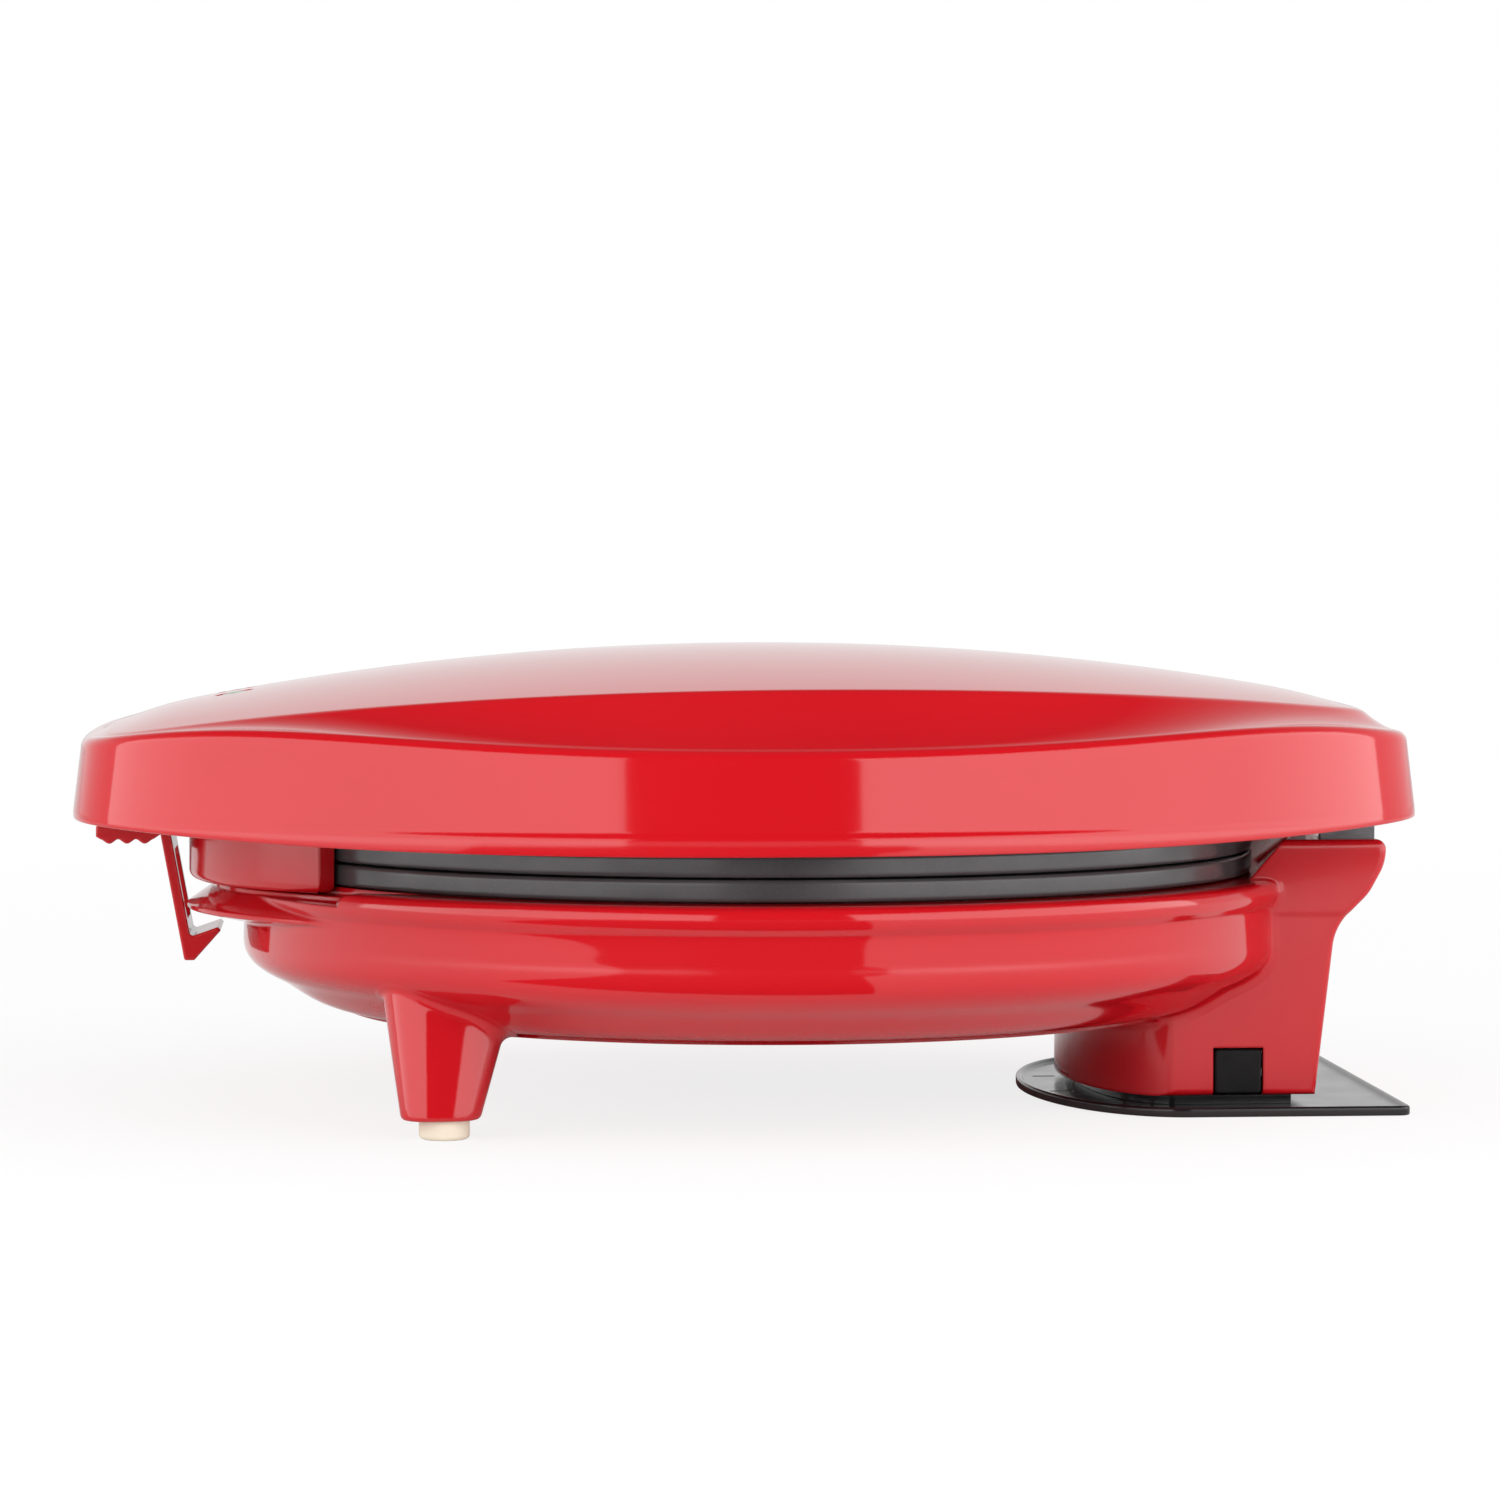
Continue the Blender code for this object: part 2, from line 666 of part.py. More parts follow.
def make_lid_frame():
    outline = [(wall_reach(a, frame_inset) * math.cos(a), wall_reach(a, frame_inset) * math.sin(a))
               for a in lid_angles(lid_points)]
    top_z = frame_bottom_z + frame_sheet
    frame = prism("lid_frame", outline, frame_bottom_z, top_z, parts)
    cut(frame, disc("frame_hole", frame_hole_radius, frame_bottom_z - overrun, top_z + overrun,
                    steps=turned_steps))
    skirt_low_z = upper_rim_top_z + seat_gap
    skirt_top_z = top_z - frame_sheet / 3
    join(frame, turned("frame_skirt", [
        (frame_hole_radius, skirt_top_z), (frame_skirt_radius, skirt_top_z),
        (frame_skirt_radius, skirt_low_z), (frame_hole_radius, skirt_low_z),
    ], ring=True))
    block_inner = plate_radius + block_plate_clearance
    join(frame, crescent("front_block", block_radius, block_bottom_z, top_z - frame_sheet / 3,
                         block_inner, block_edge_round))
    cut(frame, crescent("front_block_hollow", block_radius - shell_wall, block_bottom_z + shell_wall,
                        top_z + overrun, block_inner + shell_wall))
    # Notch that the latch hangs in, and the two ears that hold its pin
    notch_rear_x = latch_x + latch_hub_radius + latch_notch_clearance
    ear_inner = latch_half_width + latch_ear_gap
    cut(frame, box("latch_notch", (lid_front_x, -ear_inner, frame_bottom_z - overrun),
                   (notch_rear_x, ear_inner, top_z + overrun)))
    for side in (1, -1):
        outline = arc((latch_x, latch_z), latch_ear_radius, -math.pi, 0.0, 9)
        outline += [(latch_x + latch_ear_radius, top_z), (latch_x - latch_ear_radius, top_z)]
        near, far = sorted((side * ear_inner, side * (ear_inner + latch_ear_thickness)))
        join(frame, prism(f"latch_ear_{side}", outline, near, far, along="Y"))
    hole = arc((latch_x, latch_z), latch_pin_radius + running_gap, 0.0, 2 * math.pi, 17)[:-1]
    reach = latch_pin_half_length + seat_gap
    cut(frame, prism("latch_pin_hole", hole, -reach, reach, along="Y"))
    for n, (x, y) in enumerate(frame_screw_x_y):
        for side in (1, -1):
            cut(frame, sunk_hole(f"frame_screw_{n}_{side}", lid_screw_radius, lid_screw_head_radius,
                                 lid_screw_head_height, frame_bottom_z, top_z, x, side * y))
    # Slots that the hinge ears pass through, and the holes of the bracket's screws
    for side in (1, -1):
        half = ear_thickness / 2 + ear_slot_side_gap
        cut(frame, box(f"frame_ear_slot_{side}",
                       (hinge_x - ear_radius - ear_slot_gap, side * ear_y - half, frame_bottom_z - overrun),
                       (hinge_x + ear_radius + ear_slot_gap, side * ear_y + half, top_z + overrun)))
    for n, (x, y) in enumerate(bracket_screw_places()):
        cut(frame, disc(f"frame_bracket_hole_{n}", lid_screw_radius + screw_hole_gap,
                        frame_bottom_z - overrun, top_z + overrun, x=x, y=y, steps=10))
    return finish(frame, red_satin)


def bracket_screw_places():
    return [(bracket_front_x + bracket_screw_inset, side * bracket_screw_y) for side in (1, -1)]


def make_hinge_bracket():
    low_z = frame_bottom_z + frame_sheet + seat_gap
    high_z = low_z + bracket_thickness
    bracket = box("lid_hinge_bracket", (bracket_front_x, -bracket_half_width, low_z),
                  (bracket_rear_x, bracket_half_width, high_z), parts)
    hole = arc((hinge_x, hinge_z), pin_radius + running_gap, 0.0, 2 * math.pi, 25)[:-1]
    for side in (1, -1):
        outline = arc((hinge_x, hinge_z), ear_radius, -math.pi, 0.0, 15)
        ear_top_z = high_z - bracket_thickness / 3
        outline += [(hinge_x + ear_radius, ear_top_z), (hinge_x - ear_radius, ear_top_z)]
        near, far = side * ear_y - ear_thickness / 2, side * ear_y + ear_thickness / 2
        join(bracket, prism(f"bracket_ear_{side}", outline, near, far, along="Y"))
        cut(bracket, prism(f"bracket_pin_hole_{side}", hole, near - overrun, far + overrun, along="Y"))
    for n, (x, y) in enumerate(bracket_screw_places()):
        cut(bracket, disc(f"bracket_screw_hole_{n}", lid_screw_radius + screw_hole_gap,
                          low_z - overrun, high_z + overrun, x=x, y=y, steps=10))
    return finish(bracket, zinc_steel)


def make_screws(name, places, head_z, point_z, shank_radius, head_radius, head_height):
    # A row of identical screws, each a head with a shank towards point_z
    screws = []
    for n, (x, y) in enumerate(places, 1):
        if point_z > head_z:
            profile = [(0.0, point_z), (shank_radius, point_z), (shank_radius, head_z + head_height),
                       (head_radius, head_z + head_height), (head_radius, head_z), (0.0, head_z)]
        else:
            profile = [(0.0, head_z), (head_radius, head_z), (head_radius, head_z - head_height),
                       (shank_radius, head_z - head_height), (shank_radius, point_z), (0.0, point_z)]
        screws.append(finish(turned(f"{name}_{n}", profile, parts, x, y, screw_steps), zinc_steel))
    return screws


def plate_boss_places():
    return arc((0.0, 0.0), plate_boss_circle, math.pi / 3, math.pi * 5 / 3, 3)


def make_plate(name, seam_z, up):
    # up is 1 for the upper plate, whose back is above its seam, and -1 for the lower one
    steps = [
        (0.0, plate_recess_depth), (plate_recess_radius, plate_recess_depth),
        (plate_recess_radius + plate_recess_depth / 2, 0.0),
        (plate_radius - plate_edge_round, 0.0), (plate_radius, plate_edge_round),
        (plate_radius, plate_rim_height - plate_edge_round),
        (plate_radius - plate_edge_round, plate_rim_height), (plate_body_radius, plate_rim_height),
        (plate_body_radius, plate_depth), (0.0, plate_depth),
    ]
    profile = [(radius, seam_z + up * depth) for radius, depth in steps]
    if up > 0:
        profile.reverse()
    plate = turned(name, profile, parts)
    # Bosses on the back that the reflector's screws go into
    back_z = seam_z + up * plate_depth
    boss_end_z = back_z + up * (2 * heater_tube_radius + seat_gap)
    for n, (x, y) in enumerate(plate_boss_places()):
        join(plate, boss(f"{name}_boss_{n}", plate_boss_radius, screw_shank_radius + screw_hole_gap,
                         back_z - up * plate_edge_round, boss_end_z, back_z + up * seat_gap, x, y))
    # Tapered square pockets, clipped by a round edge
    shape = bmesh.new()
    start = plate_recess_depth - overrun
    pocket_top = pocket_pitch - pocket_rib
    grow = pocket_taper * overrun / (pocket_depth - plate_recess_depth)
    mouth = (pocket_top / 2 + grow) * math.sqrt(2)
    floor = (pocket_top / 2 - pocket_taper) * math.sqrt(2)
    for i in range(-pockets_each_way, pockets_each_way):
        for j in range(-pockets_each_way, pockets_each_way):
            u, v = (i + 0.5) * pocket_pitch, (j + 0.5) * pocket_pitch
            u += math.copysign(cross_rib / 2, u)
            v += math.copysign(cross_rib / 2, v)
            if math.hypot(u, v) > plate_recess_radius + pocket_rib:
                continue
            low, high = sorted((seam_z + up * start, seam_z + up * pocket_depth))
            radius_low, radius_high = (mouth, floor) if up > 0 else (floor, mouth)
            made = bmesh.ops.create_cone(shape, cap_ends=True, segments=4, radius1=radius_low,
                                         radius2=radius_high, depth=high - low)
            bmesh.ops.rotate(shape, verts=made["verts"], matrix=Matrix.Rotation(math.pi / 4, 3, "Z"))
            bmesh.ops.translate(shape, verts=made["verts"], vec=(u, v, (low + high) / 2))
    mesh = bpy.data.meshes.new(name + "_pockets")
    shape.to_mesh(mesh)
    shape.free()
    pockets = add_object(name + "_pockets", mesh, cutters)
    low, high = sorted((seam_z + up * (start - overrun), seam_z + up * plate_depth))
    boolean(pockets, disc(name + "_pocket_edge", plate_recess_radius - pocket_rib / 2, low, high,
                          steps=turned_steps), "INTERSECT")
    cut(plate, pockets)
    return finish(plate, plate_coat)


def heater_ends():
    # Where the element's two legs leave it, on each side of the hinge side's middle
    return [(heater_circle * math.cos(heater_gap_angle), side * heater_circle * math.sin(heater_gap_angle))
            for side in (1, -1)]


def make_heater(name, back_z, up):
    centre_z = back_z + up * (seat_gap + heater_tube_radius)
    ring = arc((0.0, 0.0), heater_circle, heater_gap_angle, 2 * math.pi - heater_gap_angle, heater_points)
    leg_z = centre_z + up * (heater_tube_radius + heater_leg_length)

    def leg(end, towards):
        # The leg stands square to the ring and bends into it within the tube's own radius
        length = math.dist(end, towards)
        along = [(b - a) / length for a, b in zip(end, towards)]
        bend = [(end[0], end[1], leg_z)]
        for run_share, rise_share in ((0.0, 1.3), (0.35, 0.4), (1.1, 0.0)):
            run, rise = run_share * heater_tube_radius, rise_share * heater_tube_radius
            bend.append((end[0] + along[0] * run, end[1] + along[1] * run, centre_z + up * rise))
        return bend

    points = leg(ring[0], ring[1])
    points += [(x, y, centre_z) for x, y in ring[1:-1]]
    points += reversed(leg(ring[-1], ring[-2]))
    return finish(tube(name, points, heater_tube_radius, parts, 1), element_steel)


def make_reflector(name, back_z, up, hole_at=None):
    rim_z = back_z + up * seat_gap
    inside_z = back_z + up * (3 * seat_gap + 2 * heater_tube_radius)
    floor_z = inside_z + up * reflector_wall
    profile = [(reflector_radius, rim_z), (reflector_floor_radius, floor_z), (0.0, floor_z)]
    if up > 0:
        profile.reverse()
    pan = turned(name, profile, parts, steps=reflector_steps)
    wall = pan.modifiers.new("sheet", "SOLIDIFY")
    wall.thickness = reflector_wall
    wall.offset = -1.0
    wall.use_even_offset = True
    low, high = sorted((rim_z, floor_z + up * overrun))
    holes = [(x, y, screw_shank_radius + screw_hole_gap) for x, y in plate_boss_places()]
    holes += [(x, y, heater_tube_radius + reflector_hole_gap) for x, y in heater_ends()]
    if hole_at is not None:
        holes.append((hole_at, 0.0, thermostat_radius + reflector_hole_gap))
    for n, (x, y, radius) in enumerate(holes):
        cut(pan, disc(f"{name}_hole_{n}", radius, low, high, x=x, y=y, steps=boss_steps))
    return finish(pan, aluminium)


def make_reflector_screws(name, back_z, up):
    floor_z = back_z + up * (3 * seat_gap + 2 * heater_tube_radius + reflector_wall)
    head_z = floor_z + up * (seat_gap + screw_head_height)
    point_z = back_z + up * 3 * seat_gap
    return make_screws(name, plate_boss_places(), head_z, point_z, screw_shank_radius,
                       screw_head_radius, screw_head_height)


def make_thermostat():
    low_z = upper_back_z + seat_gap
    body_z = low_z + thermostat_height
    cap_z = body_z + thermostat_cap_height
    thing = turned("thermostat", [
        (0.0, cap_z), (thermostat_cap_radius, cap_z), (thermostat_cap_radius, body_z),
        (thermostat_radius, body_z), (thermostat_radius, low_z), (0.0, low_z),
    ], parts, thermostat_x, steps=24)
    return finish(thing, ceramic_white)


def make_thermal_fuse():
    floor_z = lower_back_z - 3 * seat_gap - 2 * heater_tube_radius - reflector_wall
    z = floor_z - seat_gap - fuse_radius
    outline = arc((fuse_x, z), fuse_radius, 0.0, 2 * math.pi, 17)[:-1]
    fuse = prism("thermal_fuse", outline, -fuse_length / 2, fuse_length / 2, parts, along="Y")
    return finish(fuse, ceramic_white)


def make_terminal_block():
    low_z = casing_bottom_z + shell_wall + seat_gap
    block = box("terminal_block", (terminal_x - terminal_width / 2, -terminal_length / 2, low_z),
                (terminal_x + terminal_width / 2, terminal_length / 2, low_z + terminal_height), parts)
    for n, share in enumerate((-0.3, 0.0, 0.3)):
        wire_z = low_z + terminal_height
        cut(block, disc(f"terminal_well_{n}", terminal_width / 8, wire_z - terminal_height / 2,
                        wire_z + overrun, x=terminal_x, y=share * terminal_length, steps=12))
    return finish(block, black_plastic)


def tower_side():
    # Side view of the tower, from the front of its top round the rear and down to the foot
    round_off = tower_edge_round
    return [
        (tower_front_x - overrun, tower_top_z),
        (tower_bulge_x - 2 * round_off, tower_top_z),
        (tower_bulge_x - 0.6 * round_off, tower_top_z - 0.4 * round_off),
        (tower_bulge_x, tower_top_z - 1.6 * round_off),
        (tower_bulge_x - 0.1 * round_off, tower_bulge_z - round_off),
        (tower_bulge_x - round_off, (tower_bulge_z + tower_belly_z) / 2),
        (tower_belly_x, tower_belly_z),
        ((tower_belly_x + tower_neck_x) / 2 - 0.3 * round_off, (tower_belly_z + tower_neck_z) / 2),
        (tower_neck_x, tower_neck_z),
        (tower_foot_rear_x, tower_bottom_z),
        (tower_front_x - overrun, tower_bottom_z),
    ]


def column_plan(inset):
    # Plan of the column: a rounded front, and flat sides that run past the tower's rear
    rear_x = tower_bulge_x + overrun
    half = tower_half_width - inset
    front = tower_side_start_x - tower_front_x - inset
    points = []
    for i in range(column_plan_points + 1):
        a = math.pi / 2 + math.pi * i / column_plan_points
        points.append((tower_side_start_x + front * math.cos(a), half * math.sin(a)))
    return [(rear_x, half)] + points + [(rear_x, -half)]


def make_tower():
    tower = prism("tower", tower_side(), -tower_half_width, tower_half_width, along="Y")
    boolean(tower, prism("tower_plan", column_plan(0.0), tower_bottom_z - overrun,
                         tower_top_z + overrun), "INTERSECT")
    # The seat of the plates leans back from them towards the tower's top
    seat_radius = plate_radius + tower_seat_clearance
    lean_radius = seat_radius + tower_seat_lean
    extra = tower_seat_lean * overrun / (tower_top_z - lip_top_z)
    cut(tower, turned("tower_seat", [
        (0.0, tower_top_z + overrun), (lean_radius + extra, tower_top_z + overrun),
        (seat_radius, lip_top_z), (seat_radius, lip_top_z - tower_wall), (0.0, lip_top_z - tower_wall),
    ]))
    return tower


def leg_outline(radius, x, y, z):
    outward = math.atan2(y, x)
    points = []
    for i in range(leg_points):
        a = 2 * math.pi * i / leg_points
        reach = radius * (1 + leg_lobe_share * math.cos(3 * (a - outward)))
        points.append((x + reach * math.cos(a), y + reach * math.sin(a), z))
    return points


def make_leg(side):
    # A leg tapers between two rounded triangles, so it is a short loft
    shape = bmesh.new()
    foot = leg_outline(leg_bottom_radius, leg_x, side * leg_y, leg_bottom_z)
    head = leg_outline(leg_top_radius, leg_top_x, side * leg_top_y, leg_top_z)
    low = [shape.verts.new(p) for p in foot]
    high = [shape.verts.new(p) for p in head]
    for i in range(leg_points):
        j = (i + 1) % leg_points
        shape.faces.new((low[i], low[j], high[j], high[i]))
    shape.faces.new(list(reversed(low)))
    shape.faces.new(high)
    mesh = bpy.data.meshes.new(f"leg_{side}")
    shape.to_mesh(mesh)
    shape.free()
    return add_object(f"leg_{side}", mesh, cutters)


def make_nose():
    # Wedge in front of the casing, round about the same centre as the block above it
    tip = block_radius + nose_reach
    body = turned("nose", [
        (0.0, nose_top_z), (tip - nose_bevel, nose_top_z), (tip, nose_tip_z + nose_tip_height),
        (tip, nose_tip_z), (tip - nose_under_run, nose_bottom_z), (0.0, nose_bottom_z),
    ], cutters, block_centre_x, steps=block_steps)
    cut(body, disc("nose_inside", nose_inner_radius, nose_bottom_z - overrun, nose_top_z + overrun,
                   steps=turned_steps))
    return body


def make_lower_casing():
    outer = [(r * casing_radius, casing_bottom_z + z * casing_depth) for r, z in casing_profile_shares]
    profile = [(0.0, lip_top_z)] + outer + [(0.0, casing_bottom_z)]
    casing = turned("lower_casing", profile, parts)
    join(casing, make_tower(), make_leg(1), make_leg(-1))
    # Hollow of the pan, under the lip that the lower plate rests on
    wall_radius = casing_wall_share * casing_radius
    inner_wall = wall_radius - shell_wall
    under_lip_z = lip_top_z - shell_wall
    curved = [p for p in outer if p[1] < casing_bottom_z + casing_depth * 0.5]
    bowl = [(r, z) for r, z in offset_profile(curved, shell_wall)]
    floor_z = casing_bottom_z + shell_wall
    cut(casing, turned("pan_hollow", [
        (0.0, lip_top_z + overrun), (lip_inner_radius, lip_top_z + overrun),
        (lip_inner_radius, under_lip_z), (inner_wall, under_lip_z), (inner_wall, bowl[0][1]),
    ] + bowl[1:-1] + [(bowl[-1][0], floor_z), (0.0, floor_z)]))
    # The lip gives way to the lid's block at the front, and the nose closes it there
    cut(casing, crescent("block_space", block_radius + nose_reach + overrun, nose_top_z - seat_gap,
                         lip_top_z + overrun, plate_radius))
    join(casing, make_nose())
    # Hollow of the column, open at its foot, and the way up from it into the pan
    column_top_z = casing_bottom_z - seat_gap
    column = prism("column_hollow", column_plan(tower_wall), tower_bottom_z - overrun, column_top_z)
    rear_wall_x = tower_foot_rear_x - tower_wall
    boolean(column, box("column_rear_limit", (0.0, -tower_half_width, tower_bottom_z - overrun - seat_gap),
                        (rear_wall_x, tower_half_width, column_top_z + seat_gap)), "INTERSECT")
    inner_half = tower_half_width - tower_wall
    way_front_x = tower_side_start_x + tower_wall
    way = box("column_way", (way_front_x, -inner_half, tower_bottom_z), (rear_wall_x, inner_half, tower_neck_z))
    cut(casing, column, way)
    cut_hinge_slots(casing)
    # Notch in the near side of the column's foot
    cut(casing, box("gland_notch", (notch_front_x, -tower_half_width - overrun, tower_bottom_z - overrun),
                    (notch_rear_x, -inner_half + overrun, notch_top_z)))
    # Bosses for the screws of the cord plate
    for n, (x, y) in enumerate(base_screw_places()):
        boss_z = tower_bottom_z + seat_gap
        join(casing, boss(f"base_boss_{n}", plate_boss_radius, screw_shank_radius + screw_hole_gap,
                          casing_bottom_z + shell_wall / 2, boss_z, boss_z + base_screw_length, x, y))
    return finish(casing, red_gloss)


def cut_hinge_slots(casing):
    hole = arc((hinge_x, hinge_z), pin_radius + running_gap, 0.0, 2 * math.pi, 25)[:-1]
    half = ear_thickness / 2 + ear_slot_side_gap
    pin_reach = pin_length / 2 + seat_gap
    for side in (1, -1):
        middle = side * ear_y
        cut(casing, box(f"ear_slot_{side}", (hinge_x - ear_radius - ear_slot_gap, middle - half, ear_slot_bottom_z),
                        (tower_bulge_x + overrun, middle + half, tower_top_z + overrun)))
        cut(casing, prism(f"pin_hole_{side}", hole, middle - pin_reach, middle + pin_reach, along="Y"))


def make_hinge_pin(name, side):
    outline = arc((hinge_x, hinge_z), pin_radius, 0.0, 2 * math.pi, 25)[:-1]
    middle = side * ear_y
    pin = prism(name, outline, middle - pin_length / 2, middle + pin_length / 2, parts, along="Y")
    return finish(pin, zinc_steel)


def base_screw_places():
    length = tower_foot_rear_x - tower_front_x
    return [(tower_front_x + length * u, tower_half_width * v) for u, v in base_screw_place_shares]


def cord_plate_plan(inset):
    half = cord_plate_half_width - inset
    front = cord_plate_side_start_x - cord_plate_front_x - inset
    rear = cord_plate_rear_x - inset
    corner = cord_plate_corner
    points = []
    for i in range(column_plan_points + 1):
        a = math.pi / 2 + math.pi * i / column_plan_points
        points.append((cord_plate_side_start_x + front * math.cos(a), half * math.sin(a)))
    low = arc((rear - corner, -half + corner), corner, -math.pi / 2, 0.0, 5)
    high = arc((rear - corner, half - corner), corner, 0.0, math.pi / 2, 5)
    return points + low + high


def make_cord_plate():
    # A black D-shaped plate that holds the rear up, with a hub that fills the column's foot
    plate = prism("cord_plate", cord_plate_plan(0.0), 0.0, cord_plate_thickness, parts)
    bead = prism("cord_plate_bead", cord_plate_plan(0.0), cord_plate_thickness / 2,
                 cord_plate_thickness + cord_plate_bead)
    cut(bead, prism("cord_plate_bead_inside", cord_plate_plan(2 * cord_plate_bead),
                    -overrun, cord_plate_thickness + overrun))
    join(plate, bead)
    hub = prism("cord_hub", column_plan(tower_wall + cord_hub_inset), cord_plate_thickness / 2,
                tower_bottom_z - seat_gap)
    boolean(hub, box("cord_hub_limit", (0.0, -tower_half_width, 0.0),
                     (tower_foot_rear_x - tower_wall - cord_hub_inset, tower_half_width, tower_bottom_z)),
            "INTERSECT")
    join(plate, hub)
    for side in (1, -1):
        middle = side * cord_slot_y
        cut(plate, box(f"cord_slot_{side}", (cord_slot_x, middle - cord_slot_width / 2, -overrun),
                       (cord_slot_x + cord_slot_length, middle + cord_slot_width / 2,
                        cord_plate_thickness + overrun)))
    for n, (x, y) in enumerate(base_screw_places()):
        cut(plate, sunk_hole(f"base_screw_way_{n}", screw_shank_radius, screw_head_radius,
                             screw_head_height + seat_gap, 0.0, tower_bottom_z, x, y))
    return finish(plate, black_plastic)


def make_cord_gland():
    low_z = tower_bottom_z + gland_gap
    near_y = -tower_half_width + gland_gap
    gland = box("cord_gland", (notch_front_x + gland_gap, near_y, low_z),
                (notch_rear_x - gland_gap, near_y + gland_depth, notch_top_z - gland_gap), parts)
    return finish(gland, black_plastic)


def make_foot_pad(name, side):
    top_z = leg_bottom_z - seat_gap
    pad = turned(name, [
        (0.0, top_z), (pad_radius - pad_edge_round / 2, top_z), (pad_radius, top_z - pad_edge_round),
        (pad_radius, pad_edge_round), (pad_radius - pad_edge_round, 0.0), (0.0, 0.0),
    ], parts, leg_x, side * leg_y, small_steps)
    return finish(pad, cream_rubber)


def latch_outline():
    # Side view: round hub, ridged thumb piece to the front, arm down, hook to the rear
    hub = arc((latch_x, latch_z), latch_hub_radius, -math.pi / 3, math.pi * 0.8, 10)
    thumb_length = latch_x - latch_hub_radius - latch_thumb_end_x
    thumb = [(latch_thumb_end_x, latch_thumb_top_z)]
    ridges = 10
    for i in range(ridges + 1):
        share = i / ridges
        wave = latch_thumb_wave * (0.5 - 0.5 * math.cos(3 * 2 * math.pi * share))
        x = latch_thumb_end_x + latch_thumb_wave + thumb_length * share
        thumb.append((x, latch_thumb_low_z - wave))
    drop = latch_arm_top_z - latch_arm_bottom_z
    lean = (latch_arm_bottom_x - (latch_x - latch_arm_thickness * 0.3)) / drop

    def arm_x(z, thickness):
        return latch_arm_bottom_x - lean * (z - latch_arm_bottom_z) + thickness

    arm = [
        (arm_x(latch_arm_top_z, 0.0), latch_arm_top_z), (latch_arm_bottom_x, latch_arm_bottom_z),
        (latch_arm_bottom_x + latch_foot_width, latch_arm_bottom_z),
        (latch_hook_tip_x, latch_hook_tip_z), (latch_hook_tip_x - latch_hook_lip, latch_hook_tip_z + latch_hook_lip),
        (arm_x(latch_hook_inner_z, latch_arm_thickness), latch_hook_inner_z),
        (arm_x(latch_arm_top_z, latch_arm_thickness), latch_arm_top_z),
    ]
    return hub + thumb + arm


def make_latch_clip():
    clip = prism("latch_clip", latch_outline(), -latch_half_width, latch_half_width, parts, along="Y")
    hole = arc((latch_x, latch_z), latch_pin_radius + running_gap, 0.0, 2 * math.pi, 17)[:-1]
    reach = latch_half_width + overrun
    cut(clip, prism("latch_bore", hole, -reach, reach, along="Y"))
    cut(clip, box("latch_spring_slot",
                  (latch_x - latch_hub_radius, -spring_slot_half_width, latch_z - latch_hub_radius - seat_gap),
                  (latch_x + latch_hub_radius + overrun, spring_slot_half_width, latch_z + latch_hub_radius + overrun)))
    return finish(clip, red_satin)


def make_latch_pin():
    outline = arc((latch_x, latch_z), latch_pin_radius, 0.0, 2 * math.pi, 17)[:-1]
    pin = prism("latch_pin", outline, -latch_pin_half_length, latch_pin_half_length, parts, along="Y")
    return finish(pin, zinc_steel)


def make_latch_spring():
    points = []
    per_turn = 8
    count = spring_turns * per_turn
    for i in range(count + 1):
        a = 2 * math.pi * i / per_turn
        y = -spring_half_length + 2 * spring_half_length * i / count
        points.append((latch_x + spring_coil_radius * math.cos(a), y, latch_z + spring_coil_radius * math.sin(a)))
    return finish(tube("latch_spring", points, spring_wire_radius, parts, 1), spring_steel)


def make_lid_screws():
    places = [(x, side * y) for x, y in frame_screw_x_y for side in (1, -1)]
    head_z = frame_bottom_z + seat_gap / 2
    point_z = frame_bottom_z + frame_sheet + lid_screw_length
    return make_screws("lid_screw", places, head_z, point_z, lid_screw_radius,
                       lid_screw_head_radius, lid_screw_head_height)


def make_bracket_screws():
    bracket_top_z = frame_bottom_z + frame_sheet + seat_gap + bracket_thickness
    head_z = bracket_top_z + seat_gap + lid_screw_head_height
    return make_screws("bracket_screw", bracket_screw_places(), head_z, frame_bottom_z + seat_gap,
                       lid_screw_radius, lid_screw_head_radius, lid_screw_head_height)


def make_base_screws():
    point_z = tower_bottom_z + base_screw_length
    return make_screws("base_screw", base_screw_places(), seat_gap, point_z, screw_shank_radius,
                       screw_head_radius, screw_head_height)


base_pieces = [
    make_lower_casing(),
    make_plate("lower_plate", lower_seam_z, -1),
    make_heater("lower_heater", lower_back_z, -1),
    make_reflector("lower_reflector", lower_back_z, -1),
    *make_reflector_screws("lower_reflector_screw", lower_back_z, -1),
    make_terminal_block(),
    make_thermal_fuse(),
    make_cord_plate(),
    make_cord_gland(),
    *make_base_screws(),
    make_foot_pad("left_foot_pad", 1),
    make_foot_pad("right_foot_pad", -1),
    make_hinge_pin("left_hinge_pin", 1),
    make_hinge_pin("right_hinge_pin", -1),
]
lid_pieces = [
    make_lid_shell(),
    make_lid_frame(),
    make_plate("upper_plate", upper_seam_z, 1),
    make_heater("upper_heater", upper_back_z, 1),
    make_reflector("upper_reflector", upper_back_z, 1, thermostat_x),
    *make_reflector_screws("upper_reflector_screw", upper_back_z, 1),
    make_thermostat(),
    make_hinge_bracket(),
    *make_bracket_screws(),
    *make_lid_screws(),
    make_latch_pin(),
    *make_lights(),
]
latch_pieces = [make_latch_clip(), make_latch_spring()]


def add_empty(name, parent, place):
    empty = bpy.data.objects.new(name, None)
    parts.objects.link(empty)
    empty.parent = parent
    empty.location = place
    return empty


